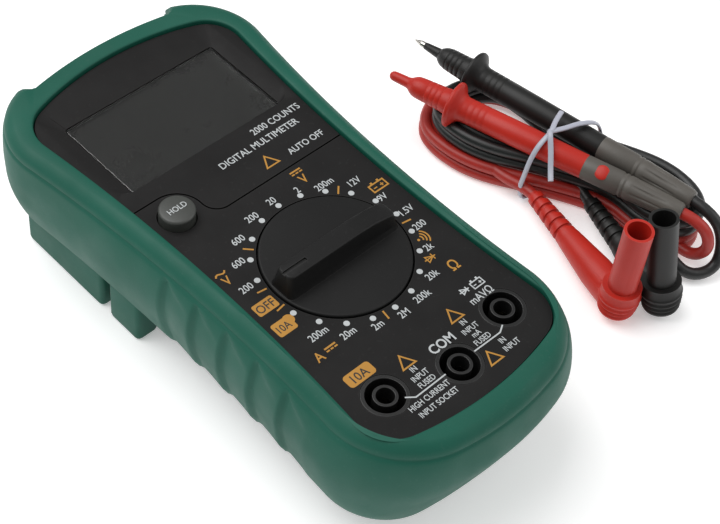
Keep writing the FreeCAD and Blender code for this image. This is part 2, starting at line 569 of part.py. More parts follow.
def make_sockets():
    """Each socket is an insulating sleeve with a ring-shaped well and a plated contact tube."""
    for name, (x, y) in socket_places().items():
        sleeve = rod(x, y, WELL_FLOOR_Z, FACE_Z, WELL_R + WELL_WALL - 0.05)
        sleeve = sleeve.cut(tube(x, y, WELL_FLOOR_Z + 1.5, FACE_Z + 1, WELL_R, POST_R))
        sleeve = sleeve.cut(rod(x, y, CONTACT_TOP_Z - 0.5, FACE_Z + 1, BORE_R))
        sleeve = sleeve.cut(rod(x, y, WELL_FLOOR_Z - 1, CONTACT_TOP_Z, CONTACT_R))
        keep("socket_sleeve_" + name, sleeve)
        contact = rod(x, y, WELL_FLOOR_Z - 0.8, CONTACT_TOP_Z, CONTACT_R)
        contact = contact.cut(rod(x, y, WELL_FLOOR_Z + 0.6, CONTACT_TOP_Z + 1, BORE_R))
        keep("socket_contact_" + name, contact)


# ---- inside -------------------------------------------------------------------------------------
def make_board():
    """The circuit board and what is soldered to it."""
    low = BOARD_TOP_Z - BOARD_THICK
    board = prism(face_outline(-1.0, low), BOARD_THICK)
    board = board.cut(rod(0, DIAL_Y, low - 1, BOARD_TOP_Z + 1, HUB_R + HUB_GAP))
    for x, y in socket_places().values():
        board = board.cut(rod(x, y, low - 1, BOARD_TOP_Z + 1, WELL_R + WELL_WALL + 0.3))
    for x, y in SCREW_PLACES:
        board = board.cut(rod(x, y, low - 1, BOARD_TOP_Z + 1, 3.6))
    keep("main_board", board)
    blob = Part.makeSphere(16.0, V(0, 42.0, BOARD_TOP_Z + 1.6 - 16.0))
    keep("control_chip", blob.common(rod(0, 42.0, BOARD_TOP_Z, BOARD_TOP_Z + 3, 6.8)))
    keep("buzzer", tube(17.2, -30.0, low - 5.0, low - 0.6, 6.0, 0.9).fuse(rod(17.2, -30.0, low - 0.6, low, 6.0)))
    shunt = [V(-17.5, -22.0, low), V(-17.5, -22.0, low - 7.0), V(-17.5, -36.0, low - 7.0), V(-17.5, -36.0, low)]
    keep("current_shunt", route_tube(shunt, 0.8, "current_shunt"))
    trimmer = box(-22.0, -17.0, 32.0, 37.0, low - 4.0, low)
    screw = rod(-19.5, 34.5, low - 4.6, low - 4.0, 1.8).cut(box(-21.0, -18.0, 34.2, 34.8, low - 5, low - 4.25))
    keep("calibration_trimmer", trimmer.fuse(screw))
    fuses = []
    caps = []
    clips = []
    z = low - 4.2
    for y in FUSE_YS:
        fuses.append(Part.makeCylinder(FUSE_R - 0.1, 2 * FUSE_HALF - 10, V(-FUSE_HALF + 5, y, z), V(1, 0, 0)))
        for side in (-1, 1):
            start = V(side * (FUSE_HALF - 5), y, z)
            caps.append(Part.makeCylinder(FUSE_R, 5.0, start, V(side, 0, 0)))
            mid = side * (FUSE_HALF - 2.5)
            clip = box(mid - 2, mid + 2, y - FUSE_R - 0.6, y + FUSE_R + 0.6, z - 1.2, low)
            bore = Part.makeCylinder(FUSE_R + 0.02, 6.0, V(mid - 3, y, z), V(1, 0, 0))
            clips.append(clip.cut(bore).cut(box(mid - 3, mid + 3, y - 1.6, y + 1.6, z - 3, z)))
    keep("fuse_tubes", Part.makeCompound(fuses))
    keep("fuse_caps", Part.makeCompound(caps))
    keep("fuse_clips", Part.makeCompound(clips))


def make_battery():
    """The nine volt battery, its snap connector, leads, door and screw."""
    w, d, h = BATTERY
    z0 = PLATEAU_Z + 2.6
    y0 = BATTERY_LOW_Y
    keep("battery", rounded_box(-w / 2, w / 2, y0, y0 + d, z0, z0 + h, 2.0))
    y1 = y0 + d
    snap = box(-12.5, 12.5, y1 + 1.6, y1 + 4.6, z0 + 1.5, z0 + h - 1.5)
    studs = []
    for side in (-1, 1):
        studs.append(Part.makeCylinder(2.6, 1.5, V(side * 6.4, y1, z0 + h / 2), V(0, 1, 0)))
    keep("battery_studs", Part.makeCompound(studs))
    keep("battery_snap", snap)
    low = BOARD_TOP_Z - BOARD_THICK
    wires = []
    for side in (-1, 1):
        x = side * 1.6
        route = [V(x, y1 + 4.6, 21.2), V(x, y1 + 9.2, 21.3), V(x, y1 + 9.6, low)]
        wires.append(route_tube(route, 0.65, "battery_lead"))
    keep("battery_leads", Part.makeCompound(wires))
    bx = w / 2 + BATTERY_GAP
    b0 = y0 - BATTERY_GAP
    door = box(-bx - 0.8, bx + 0.8, b0 - 0.8, 45.4, PLATEAU_Z, PLATEAU_Z + 1.55)
    door = door.fuse(box(-3.8, 3.8, b0 - 7.8, b0 - 0.8, PLATEAU_Z, PLATEAU_Z + 1.55))
    door = door.fuse(box(-bx + 1.1, bx - 1.1, b0 + 1.4, 44.8, PLATEAU_Z + 1.5, PLATEAU_Z + 2.4))
    for i in range(5):
        door = door.cut(box(-6, 6, 4.0 + 3 * i, 5.2 + 3 * i, PLATEAU_Z - 1, PLATEAU_Z + 0.5))
    door = door.cut(rod(0, b0 - 4.6, 0, 10, 1.35))
    door = door.cut(rod(0, b0 - 4.6, 0, PLATEAU_Z + 0.8, 2.3))
    keep("battery_door", door)
    screw = rod(0, b0 - 4.6, PLATEAU_Z + 0.1, PLATEAU_Z + 0.8, 2.2)
    screw = screw.fuse(rod(0, b0 - 4.6, PLATEAU_Z + 0.8, PLATEAU_Z + 5.5, 1.2))
    screw = screw.cut(cross_slot(0, b0 - 4.6, PLATEAU_Z + 0.1, 1.3))
    keep("battery_door_screw", screw)


def cross_slot(x, y, z, half):
    """A cross recess sunk upwards from a screw head."""
    one = box(x - half, x + half, y - 0.3, y + 0.3, z - 1, z + 0.5)
    two = box(x - 0.3, x + 0.3, y - half, y + half, z - 1, z + 0.5)
    return one.fuse(two)


def make_case_screws():
    """Four screws that hold the two case halves together."""
    screws = []
    head = PLATEAU_Z + 7.0
    for x, y in SCREW_PLACES:
        screw = rod(x, y, head - 2.0, head, 2.7).fuse(rod(x, y, head, 33.5, 1.4))
        screws.append(screw.cut(cross_slot(x, y, head - 2.0, 1.6)))
    keep("case_screws", Part.makeCompound(screws))


# ---- tilt stand ---------------------------------------------------------------------------------
def make_stand():
    """The fold-out stand, its hinge pin and the rubber feet."""
    top = STAND_LOW_Z + STAND_THICK
    plate = rounded_box(-STAND_HALF, STAND_HALF, STAND_HINGE_Y - STAND_LENGTH, STAND_HINGE_Y,
                        STAND_LOW_Z, top, 3.0)
    plate = plate.fuse(box(-STAND_HALF, STAND_HALF, STAND_HINGE_Y - 6, STAND_HINGE_Y, STAND_LOW_Z, top))
    barrel = Part.makeCylinder(STAND_BARREL_R, 2 * STAND_HALF, V(-STAND_HALF, STAND_HINGE_Y, STAND_HINGE_Z),
                               V(1, 0, 0))
    stand = plate.fuse(barrel)
    bore = Part.makeCylinder(PIN_R + PIN_GAP, 2 * STAND_HALF + 2,
                             V(-STAND_HALF - 1, STAND_HINGE_Y, STAND_HINGE_Z), V(1, 0, 0))
    stand = stand.cut(bore)
    pull = STAND_HINGE_Y - STAND_LENGTH
    stand = stand.cut(Part.makeCylinder(9.0, 30, V(0, pull - 5.0, -5)))
    for side in (-1, 1):
        stand = stand.cut(rounded_box(side * 9.5 - 4.5, side * 9.5 + 4.5, pull + 12, STAND_HINGE_Y - 10,
                                      STAND_LOW_Z - 1, STAND_LOW_Z + 0.7, 2.0))
    keep("tilt_stand", stand)
    reach = STAND_HALF + 2.5
    keep("stand_pin", Part.makeCylinder(PIN_R, 2 * reach, V(-reach, STAND_HINGE_Y, STAND_HINGE_Z), V(1, 0, 0)))
    feet = []
    for side in (-1, 1):
        feet.append(rod(side * FOOT_X, FOOT_Y, 0.0, PLATEAU_Z, FOOT_R))
    keep("rear_feet", Part.makeCompound(feet))


# ---- test leads ---------------------------------------------------------------------------------
def probe_profile(length):
    """Distances along a probe from its tip, and radii, for the moulded handle."""
    joint = length - PROBE_SLEEVE
    return [(4.6, PROBE_NECK_R), (11.0, PROBE_NECK_R + 0.1), (14.6, PROBE_NOSE_R - 0.2),
            (20.3, PROBE_NOSE_R), (20.8, PROBE_GUARD_R), (22.2, PROBE_GUARD_R), (23.6, PROBE_BODY_R),
            (40.0, PROBE_BODY_R), (joint, PROBE_BODY_R - 0.3)]


def make_probe(colour, tip, end):
    """One test probe: needle, moulded handle and grey rear sleeve."""
    along = end - tip
    length = along.Length
    handle = turned(probe_profile(length), tip, along)
    needle = turned([(0.0, 0.15), (2.2, PROBE_NEEDLE_R), (12.0, PROBE_NEEDLE_R)], tip, along)
    handle = handle.cut(needle)
    joint = length - PROBE_SLEEVE
    sleeve = turned([(joint, PROBE_BODY_R - 0.3), (length - 18.0, PROBE_BODY_R - 0.2),
                     (length, PROBE_SLEEVE_END_R)], tip, along)
    keep(colour + "_probe_handle", handle)
    keep(colour + "_probe_needle", needle)
    keep(colour + "_probe_sleeve", sleeve)


def make_plug(colour, foot, tilt, relief_end):
    """One shrouded right-angle plug: body with ribs, strain relief, upright shroud and pin."""
    up = V(tilt)
    up.normalize()
    flat = V(relief_end.x - foot.x, relief_end.y - foot.y, 0)
    flat.normalize()
    base = foot - up * 10.2
    tube_solid = Part.makeCylinder(PLUG_TUBE_R, PLUG_TUBE_LENGTH, foot, up)
    ribs = turned([(0.0, 3.2), (1.4, 4.6), (2.1, 4.9), (2.7, 4.5), (3.6, 5.2), (4.2, 4.8), (5.2, 5.4),
                   (5.8, 5.0), (7.0, 5.5), (7.6, 5.1), (10.2, 5.1)], base, up)
    neck = V(foot.x, foot.y, 5.9) + flat * 2.0
    body_end = V(relief_end.x, relief_end.y, 5.3) - flat * 17.0
    reach = (body_end - neck)
    arm = turned([(0.0, 4.7), (reach.Length * 0.4, 4.5), (reach.Length, 3.2)], neck, reach)
    relief = relief_end - body_end
    steps = 6
    profile = []
    for i in range(steps):
        a0 = relief.Length * i / steps
        size = 3.1 - 0.9 * i / steps
        profile += [(a0, size), (a0 + 1.7, size - 0.1), (a0 + 1.8, size - 0.7),
                    (a0 + relief.Length / steps - 0.1, size - 0.75)]
    sleeve = turned(profile, body_end, relief)
    body = tube_solid.fuse([ribs, arm, sleeve])
    inner = Part.makeCylinder(PLUG_TUBE_R - PLUG_TUBE_WALL, PLUG_TUBE_LENGTH + 1.0, foot, up)
    body = body.cut(inner)
    pin_root = foot - up * PLUG_PIN_ROOT
    pin_length = PLUG_PIN_ROOT + PLUG_TUBE_LENGTH - PLUG_PIN_SETBACK
    pin = turned([(0.0, PLUG_PIN_R), (pin_length - 1.0, PLUG_PIN_R), (pin_length, 1.2)], pin_root, up)
    body = body.cut(Part.makeCylinder(PLUG_PIN_R, PLUG_PIN_ROOT, pin_root, up))
    keep(colour + "_plug", body)
    keep(colour + "_plug_pin", pin)


def tie_ring(grow):
    """The band of the twist tie round the bundle, as a rounded ring across the hank."""
    axis = V(TIE_AXIS)
    axis.normalize()
    half_w = 12.9
    top = PROBE_Z + PROBE_BODY_R + 1.4
    t = TIE_THICK
    outer = rounded_box(-half_w - grow, half_w + grow, 0.0 - 0.02 * grow, top + grow, 0, TIE_WIDTH, 4.0)
    inner = rounded_box(-half_w + t + grow, half_w - t - grow, t + grow, top - t - grow, 0, TIE_WIDTH, 3.3)
    ring = outer.cut(inner)
    across = V(-axis.y, axis.x, 0)
    frame = FreeCAD.Matrix(across.x, 0, -axis.x, TIE_MIDDLE.x + axis.x * TIE_WIDTH / 2,
                           across.y, 0, -axis.y, TIE_MIDDLE.y + axis.y * TIE_WIDTH / 2,
                           0, 1, 0, 0, 0, 0, 0, 1)
    return ring.transformGeometry(frame)


def hank_solid(levels):
    """The outer shape of one folded and tied cord."""
    z0, z1 = levels
    curve = Part.BSplineCurve()
    curve.interpolate([V(x, y, z0) for x, y in HANK_OUTLINE], PeriodicFlag=True)
    return prism(Part.Wire(curve.toShape()), z1 - z0)


def make_leads():
    """Both test leads: probes, plugs, tied cords and the free ends of the cords."""
    make_probe("red", RED_TIP, RED_END)
    make_probe("black", BLACK_TIP, BLACK_END)
    make_plug("red", RED_PLUG_FOOT, RED_PLUG_TILT, RED_RELIEF_END)
    make_plug("black", BLACK_PLUG_FOOT, BLACK_PLUG_TILT, BLACK_RELIEF_END)
    groove = tie_ring(0.25)
    keep("red_cord_hank", hank_solid(RED_HANK_Z).cut(groove))
    upper = hank_solid(BLACK_HANK_Z).cut(groove)
    for tip, end in ((RED_TIP, RED_END), (BLACK_TIP, BLACK_END)):
        along = end - tip
        along.normalize()
        upper = upper.cut(Part.makeCylinder(PROBE_GUARD_R + 0.3, 4.4, tip + along * 20.0, along))
    keep("black_cord_hank", upper)
    keep("red_cord_end", route_tube(RED_ROUTE, CORD_R, "red_cord_end"))
    keep("black_cord_end", route_tube(BLACK_ROUTE, CORD_R, "black_cord_end"))
    keep("twist_tie", tie_ring(0.0))


def main():
    """Build every node and write it."""
    make_holster()
    make_front_cover()
    make_rear_cover()
    make_display()
    make_range_switch()
    make_hold_button()
    make_sockets()
    make_board()
    make_battery()
    make_case_screws()
    make_stand()
    make_leads()
    os.makedirs("parts", exist_ok=True)
    for node, shape in SHAPES.items():
        shape.exportStep("parts/%s.step" % node)
        print(node, len(shape.Solids), "%.0f" % shape.Volume, shape.isValid())


main()
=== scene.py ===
"""Looks of a hand-held digital multimeter in a rubber holster, with its tied pair of test leads.

Sizes are in millimetres and become metres when a mesh is finished. +Z is up out of the face, +Y runs
from the sockets to the display, and +X is to the right of somebody reading the display.
"""

import json
import logging
import math
from dataclasses import dataclass
from enum import Enum
from typing import Sequence

import bmesh
import bpy
from mathutils import Matrix, Vector

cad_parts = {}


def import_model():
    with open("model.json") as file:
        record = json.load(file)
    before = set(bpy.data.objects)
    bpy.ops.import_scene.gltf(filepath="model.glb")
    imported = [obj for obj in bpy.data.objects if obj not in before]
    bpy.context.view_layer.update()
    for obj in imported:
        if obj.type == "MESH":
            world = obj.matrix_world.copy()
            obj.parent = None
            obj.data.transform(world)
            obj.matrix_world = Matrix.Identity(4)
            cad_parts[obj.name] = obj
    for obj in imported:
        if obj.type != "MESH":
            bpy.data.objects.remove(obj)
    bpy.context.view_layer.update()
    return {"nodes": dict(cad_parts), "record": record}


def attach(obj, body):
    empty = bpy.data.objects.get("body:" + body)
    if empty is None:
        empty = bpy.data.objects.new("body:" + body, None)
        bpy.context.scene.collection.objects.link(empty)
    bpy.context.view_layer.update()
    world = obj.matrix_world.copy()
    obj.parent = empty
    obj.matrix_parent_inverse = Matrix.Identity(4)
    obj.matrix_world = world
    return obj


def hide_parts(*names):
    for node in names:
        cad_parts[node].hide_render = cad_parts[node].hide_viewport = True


LOG = logging.getLogger("multimeter")
MM = 0.001
FACE_Z = 40.0
WAIST_Y = -8.0
DIAL_Y = -15.0

Point = tuple[float, float, float]
Colour = tuple[float, float, float]


class Body(Enum):
    """The bodies that move against each other."""

    CASE = "case"
    KNOB = "knob"
    HOLD = "hold"
    STAND = "stand"
    LEADS = "leads"


# ---- finishes -----------------------------------------------------------------------------------
def tone(code: str) -> Colour:
    """Turn a six-digit display colour into scene-linear red, green and blue.

    Args:
        code: two hexadecimal digits for each of red, green and blue.
    Returns:
        The three linear values.
    """
    parts = [int(code[i:i + 2], 16) / 255 for i in (0, 2, 4)]
    linear = [c / 12.92 if c <= 0.04045 else ((c + 0.055) / 1.055) ** 2.4 for c in parts]
    return linear[0], linear[1], linear[2]


@dataclass(frozen=True)
class Finish:
    """One surface finish: its colours, gloss, moulded grain, and lighter edges that are partly wear and
    partly painted highlight.
    """

    name: str
    base: str
    shade: str
    slot: str
    roughness: float = 0.5
    spread: float = 0.08
    grain: float = 0.35
    depth: float = 0.02
    patch: float = 14.0
    # edge and edge_colour: a lighter colour mixed in along rounded edges, partly wear and partly painted
    # highlight.
    edge: float = 0.0
    edge_colour: str = "808080"
    scuff: float = 0.0
    metallic: float = 0.0
    coat: float = 0.0
    specular: float = 0.5
    transmission: float = 0.0

    def material(self) -> bpy.types.Material:
        """Return the material of this finish, made once.

        Returns:
            The material, with the shared grain, edge and scuff groups feeding one shader.
        """
        known = bpy.data.materials.get(self.name)
        if known:
            return known
        made = bpy.data.materials.new(self.name)
        made.use_nodes = True
        tree = made.node_tree
        shader = tree.nodes["Principled BSDF"]
        shader.inputs["Metallic"].default_value = self.metallic
        shader.inputs["Coat Weight"].default_value = self.coat
        shader.inputs["Coat Roughness"].default_value = 0.12
        shader.inputs["Specular IOR Level"].default_value = self.specular
        shader.inputs["Transmission Weight"].default_value = self.transmission
        grain = tree.nodes.new("ShaderNodeGroup")
        grain.node_tree = moulded_grain()
        grain.inputs["Base"].default_value = (*tone(self.base), 1)
        grain.inputs["Shade"].default_value = (*tone(self.shade), 1)
        grain.inputs["Grain size"].default_value = self.grain * MM
        grain.inputs["Patch size"].default_value = self.patch * MM
        grain.inputs["Roughness"].default_value = self.roughness
        grain.inputs["Spread"].default_value = self.spread
        colour = grain.outputs["Colour"]
        rough = grain.outputs["Roughness"]
        # Lighter rounded edges: partly wear, partly painted edge highlight.
        if self.edge > 0:
            wear_and_highlight = tree.nodes.new("ShaderNodeGroup")
            wear_and_highlight.node_tree = edge_wear_and_highlight()
            wear_and_highlight.inputs["Amount"].default_value = self.edge
            wear_and_highlight.inputs["Edge colour"].default_value = (*tone(self.edge_colour), 1)
            tree.links.new(colour, wear_and_highlight.inputs["Colour"])
            colour = wear_and_highlight.outputs["Colour"]
        if self.scuff > 0:
            dust = tree.nodes.new("ShaderNodeGroup")
            dust.node_tree = handling_marks()
            dust.inputs["Amount"].default_value = self.scuff
            tree.links.new(colour, dust.inputs["Colour"])
            tree.links.new(rough, dust.inputs["Roughness"])
            colour = dust.outputs["Colour"]
            rough = dust.outputs["Roughness"]
        tree.links.new(colour, shader.inputs["Base Color"])
        tree.links.new(rough, shader.inputs["Roughness"])
        if self.depth > 0:
            bump = tree.nodes.new("ShaderNodeBump")
            bump.inputs["Distance"].default_value = self.depth * MM
            bump.inputs["Strength"].default_value = 1.0
            tree.links.new(grain.outputs["Height"], bump.inputs["Height"])
            tree.links.new(bump.outputs["Normal"], shader.inputs["Normal"])
        return made


def new_group(name: str, inputs: Sequence[tuple], outputs: Sequence[tuple]) -> bpy.types.NodeTree:
    """Start a shader node group with named sockets.

    Args:
        name: the group's name.
        inputs: (name, socket type, default) for each input.
        outputs: (name, socket type) for each output.
    Returns:
        The group, holding its Group Input and Group Output nodes.
    """
    group = bpy.data.node_groups.new(name, "ShaderNodeTree")
    for label, kind, default in inputs:
        socket = group.interface.new_socket(name=label, in_out="INPUT", socket_type=kind)
        socket.default_value = default
    for label, kind in outputs:
        group.interface.new_socket(name=label, in_out="OUTPUT", socket_type=kind)
    group.nodes.new("NodeGroupInput")
    group.nodes.new("NodeGroupOutput")
    return group


def math_node(tree: bpy.types.NodeTree, operation: str, *values: object) -> bpy.types.NodeSocket:
    """Add a math node.

    Args:
        tree: the node tree that gets it.
        operation: the name of the operation.
        values: a socket to link or a number to set, for each input.
    Returns:
        The result socket.
    """
    node = tree.nodes.new("ShaderNodeMath")
    node.operation = operation
    for index, value in enumerate(values):
        if isinstance(value, bpy.types.NodeSocket):
            tree.links.new(value, node.inputs[index])
        else:
            node.inputs[index].default_value = value
    return node.outputs[0]


def mix_node(tree: bpy.types.NodeTree, factor: object, first: object, second: object) -> bpy.types.NodeSocket:
    """Add a colour mix node.

    Args:
        tree: the node tree that gets it.
        factor: how much of the second colour shows.
        first: the first colour.
        second: the second colour.
    Returns:
        The mixed colour socket.
    """
    node = tree.nodes.new("ShaderNodeMix")
    node.data_type = "RGBA"
    sockets = (node.inputs[0], node.inputs[6], node.inputs[7])
    for socket, value in zip(sockets, (factor, first, second)):
        if isinstance(value, bpy.types.NodeSocket):
            tree.links.new(value, socket)
        else:
            socket.default_value = value
    return node.outputs[2]


def noise_node(tree: bpy.types.NodeTree, size: object, detail: float) -> bpy.types.NodeSocket:
    """Add noise on object coordinates.

    Args:
        tree: the node tree that gets it.
        size: the size of its lumps in metres, as a socket or a number.
        detail: how many finer layers it has.
    Returns:
        The noise value socket.
    """
    place = tree.nodes.new("ShaderNodeTexCoord")
    node = tree.nodes.new("ShaderNodeTexNoise")
    node.inputs["Detail"].default_value = detail
    tree.links.new(place.outputs["Object"], node.inputs["Vector"])
    if isinstance(size, bpy.types.NodeSocket):
        tree.links.new(math_node(tree, "DIVIDE", 1.0, size), node.inputs["Scale"])
    else:
        node.inputs["Scale"].default_value = 1.0 / size
    return node.outputs["Fac"]


def moulded_grain() -> bpy.types.NodeTree:
    """Build spark-eroded mould grain with slow patches of colour and gloss.

    Returns:
        The node group.
    """
    name = "moulded grain"
    if name in bpy.data.node_groups:
        return bpy.data.node_groups[name]
    group = new_group(name, [("Base", "NodeSocketColor", (0.5, 0.5, 0.5, 1)),
                             ("Shade", "NodeSocketColor", (0.3, 0.3, 0.3, 1)),
                             ("Grain size", "NodeSocketFloat", 0.0004),
                             ("Patch size", "NodeSocketFloat", 0.014),
                             ("Roughness", "NodeSocketFloat", 0.5),
                             ("Spread", "NodeSocketFloat", 0.1)],
                      [("Colour", "NodeSocketColor"), ("Roughness", "NodeSocketFloat"),
                       ("Height", "NodeSocketFloat")])
    source = group.nodes["Group Input"].outputs
    target = group.nodes["Group Output"].inputs
    fine = noise_node(group, source["Grain size"], 2.0)
    slow = noise_node(group, source["Patch size"], 3.0)
    blend = math_node(group, "MULTIPLY_ADD", math_node(group, "SUBTRACT", slow, 0.5), 1.6, 0.5)
    speck = math_node(group, "MULTIPLY_ADD", math_node(group, "SUBTRACT", fine, 0.5), 0.5, blend)
    factor = math_node(group, "MINIMUM", math_node(group, "MAXIMUM", speck, 0.0), 1.0)
    group.links.new(mix_node(group, factor, source["Base"], source["Shade"]), target["Colour"])
    swing = math_node(group, "MULTIPLY", math_node(group, "SUBTRACT", factor, 0.5), source["Spread"])
    group.links.new(math_node(group, "ADD", source["Roughness"], swing), target["Roughness"])
    group.links.new(fine, target["Height"])
    return group


def edge_wear_and_highlight() -> bpy.types.NodeTree:
    """Build the lighter colour of rounded edges: partly wear, partly painted edge highlight.

    Returns:
        The node group.
    """
    name = "edge wear"
    if name in bpy.data.node_groups:
        return bpy.data.node_groups[name]
    group = new_group(name, [("Colour", "NodeSocketColor", (0.5, 0.5, 0.5, 1)),
                             ("Edge colour", "NodeSocketColor", (0.6, 0.6, 0.6, 1)),
                             ("Amount", "NodeSocketFloat", 0.3)], [("Colour", "NodeSocketColor")])
    source = group.nodes["Group Input"].outputs
    # Mask of rounded edges, where the painted edge highlight and the wear are mixed in.
    rounded = group.nodes.new("ShaderNodeBevel")
    rounded.inputs["Radius"].default_value = 0.5 * MM
    shape = group.nodes.new("ShaderNodeNewGeometry")
    dot = group.nodes.new("ShaderNodeVectorMath")
    dot.operation = "DOT_PRODUCT"
    group.links.new(rounded.outputs["Normal"], dot.inputs[0])
    group.links.new(shape.outputs["Normal"], dot.inputs[1])
    bend = math_node(group, "MULTIPLY", math_node(group, "SUBTRACT", 1.0, dot.outputs["Value"]), 6.0)
    broken = math_node(group, "MULTIPLY", bend, noise_node(group, 1.5 * MM, 2.0))
    factor = math_node(group, "MULTIPLY", math_node(group, "MINIMUM", broken, 1.0), source["Amount"])
    mixed = mix_node(group, factor, source["Colour"], source["Edge colour"])
    group.links.new(mixed, group.nodes["Group Output"].inputs["Colour"])
    return group


def handling_marks() -> bpy.types.NodeTree:
    """Build faint dust and rubbed, shinier patches from handling.

    Returns:
        The node group.
    """
    name = "handling marks"
    if name in bpy.data.node_groups:
        return bpy.data.node_groups[name]
    group = new_group(name, [("Colour", "NodeSocketColor", (0.5, 0.5, 0.5, 1)),
                             ("Roughness", "NodeSocketFloat", 0.5), ("Amount", "NodeSocketFloat", 0.3)],
                      [("Colour", "NodeSocketColor"), ("Roughness", "NodeSocketFloat")])
    source = group.nodes["Group Input"].outputs
    target = group.nodes["Group Output"].inputs
    cloud = noise_node(group, 9.0 * MM, 5.0)
    specks = noise_node(group, 0.9 * MM, 1.0)
    fleck = math_node(group, "MULTIPLY", math_node(group, "GREATER_THAN", specks, 0.71), 0.35)
    veil = math_node(group, "MULTIPLY", math_node(group, "SUBTRACT", cloud, 0.42), 0.5)
    both = math_node(group, "MAXIMUM", math_node(group, "ADD", fleck, veil), 0.0)
    factor = math_node(group, "MULTIPLY", both, source["Amount"])
    group.links.new(mix_node(group, factor, source["Colour"], (0.42, 0.42, 0.4, 1)), target["Colour"])
    rub = math_node(group, "MULTIPLY", math_node(group, "SUBTRACT", cloud, 0.5), -0.25)
    group.links.new(math_node(group, "ADD", source["Roughness"], rub), target["Roughness"])
    return group


# Each edge colour below is the lighter tone mixed in along rounded edges: partly wear, partly painted edge
# highlight.
HOLSTER_RUBBER = Finish("holster rubber", "0f5848", "0c4e3f", "holster_rubber", roughness=0.56, spread=0.1,
                        grain=0.3, depth=0.012, patch=22.0, edge=0.12, edge_colour="3f7c6d", scuff=0.05,
                        specular=0.3)
FACE_PLASTIC = Finish("face plastic", "161515", "121111", "face_plastic", specular=0.22, roughness=0.6,
                      grain=0.22, depth=0.012, edge=0.10, edge_colour="6a6866", scuff=0.03)
CASE_PLASTIC = Finish("case plastic", "2a2a29", "222221", "case_plastic", roughness=0.6, grain=0.4,
                      depth=0.03, edge=0.25, edge_colour="6c6c6a", scuff=0.1)
KNOB_PLASTIC = Finish("knob plastic", "131313", "0f0f0f", "knob_plastic", specular=0.25, roughness=0.5,
                      grain=0.2, depth=0.012, edge=0.25, edge_colour="585756", scuff=0.03)
BUTTON_GREY = Finish("button grey", "40423f", "383a37", "button_grey", roughness=0.42, grain=0.3,
                     depth=0.008, edge=0.3, edge_colour="8b8d8b")
SOCKET_PLASTIC = Finish("socket plastic", "1b1b1b", "151515", "socket_plastic", roughness=0.32, grain=0.4,
                        depth=0.004, edge=0.2, edge_colour="5b5b5b")
WINDOW_CLEAR = Finish("window clear", "c8cac8", "c0c2c0", "window_clear", roughness=0.06, spread=0.02,
                      depth=0.0, transmission=1.0, specular=0.5)
LCD_GLASS = Finish("display glass", "403f3e", "3a3938", "lcd_glass", roughness=0.28, spread=0.05, grain=0.6,
                   depth=0.002, patch=20.0)
WHITE_PLASTIC = Finish("white plastic", "d4d4cf", "c7c7c1", "white_plastic", roughness=0.45, edge=0.1,
                       edge_colour="eeeeee")
ELASTOMER = Finish("contact elastomer", "a37f8b", "8d6a77", "elastomer", roughness=0.7, grain=0.15)
BLACK_PLASTIC = Finish("black plastic", "242424", "1c1c1c", "black_plastic", roughness=0.5, edge=0.2)
PLATED = Finish("nickel plating", "c8c5bf", "b4b0aa", "plated_metal", roughness=0.22, spread=0.15,
                grain=0.5, depth=0.003, metallic=1.0)
SOLDER_MASK = Finish("solder mask", "1e6a35", "185a2c", "board_green", roughness=0.3, grain=1.2, depth=0.01,
                     coat=0.4)
COPPER = Finish("copper wire", "c98357", "b06f47", "copper_wire", roughness=0.3, metallic=1.0, depth=0.004)
TRIMMER_BLUE = Finish("trimmer blue", "2a55b0", "234a9c", "trimmer_blue", roughness=0.35, edge=0.2)
FUSE_GLASS = Finish("fuse glass", "e6ebea", "dde3e2", "fuse_glass", roughness=0.05, spread=0.0, depth=0.0,
                    transmission=1.0)
BRASS = Finish("clip brass", "c6a45d", "b08f4c", "brass", roughness=0.3, metallic=1.0, depth=0.004)
BATTERY_JACKET = Finish("battery jacket", "3a3c42", "2c2e34", "battery_jacket", roughness=0.3, metallic=0.4,
                        grain=2.0, depth=0.01, edge=0.3, edge_colour="b9b9b9")
STEEL = Finish("zinc plated steel", "a7a9ab", "8d9092", "steel", roughness=0.3, spread=0.2, metallic=1.0,
               grain=0.3, depth=0.006)
FOOT_RUBBER = Finish("foot rubber", "222222", "1a1a1a", "foot_rubber", roughness=0.8, grain=0.5, depth=0.03)
RED_PLASTIC = Finish("red lead plastic", "c02a1e", "ad2318", "red_lead_plastic", roughness=0.42, grain=0.4,
                     specular=0.35,
                     depth=0.01, edge=0.15, edge_colour="e08070")
BLACK_LEAD = Finish("black lead plastic", "1c1c1b", "161615", "black_lead_plastic", roughness=0.45,
                    specular=0.35,
                    grain=0.4, depth=0.01, edge=0.15, edge_colour="5b5e5d")
GREY_SLEEVE = Finish("grey sleeve", "5c5852", "514d48", "grey_sleeve", roughness=0.5, grain=0.3, depth=0.015,
                     edge=0.2, edge_colour="96928b", scuff=0.06)
RED_JACKET = Finish("red cord jacket", "b02a20", "9a2119", "red_cable", roughness=0.42, grain=1.4,
                    depth=0.012, patch=9.0, scuff=0.08)
BLACK_JACKET = Finish("black cord jacket", "1d1e1e", "171818", "black_cable", roughness=0.4, grain=1.4,
                      depth=0.012, patch=9.0, scuff=0.08)
TIE_PLASTIC = Finish("twist tie plastic", "b4b6c2", "a6a9b6", "tie_plastic", roughness=0.35, grain=0.5,
                     depth=0.006)
WHITE_INK = Finish("white ink", "bcc0c1", "b0b4b5", "face_plastic", roughness=0.55, grain=0.25, depth=0.004)
AMBER_INK = Finish("amber ink", "b8842f", "a97727", "face_plastic", roughness=0.55, grain=0.25, depth=0.004)
DARK_INK = Finish("dark ink", "2a2823", "24221e", "face_plastic", roughness=0.55, grain=0.25, depth=0.004)

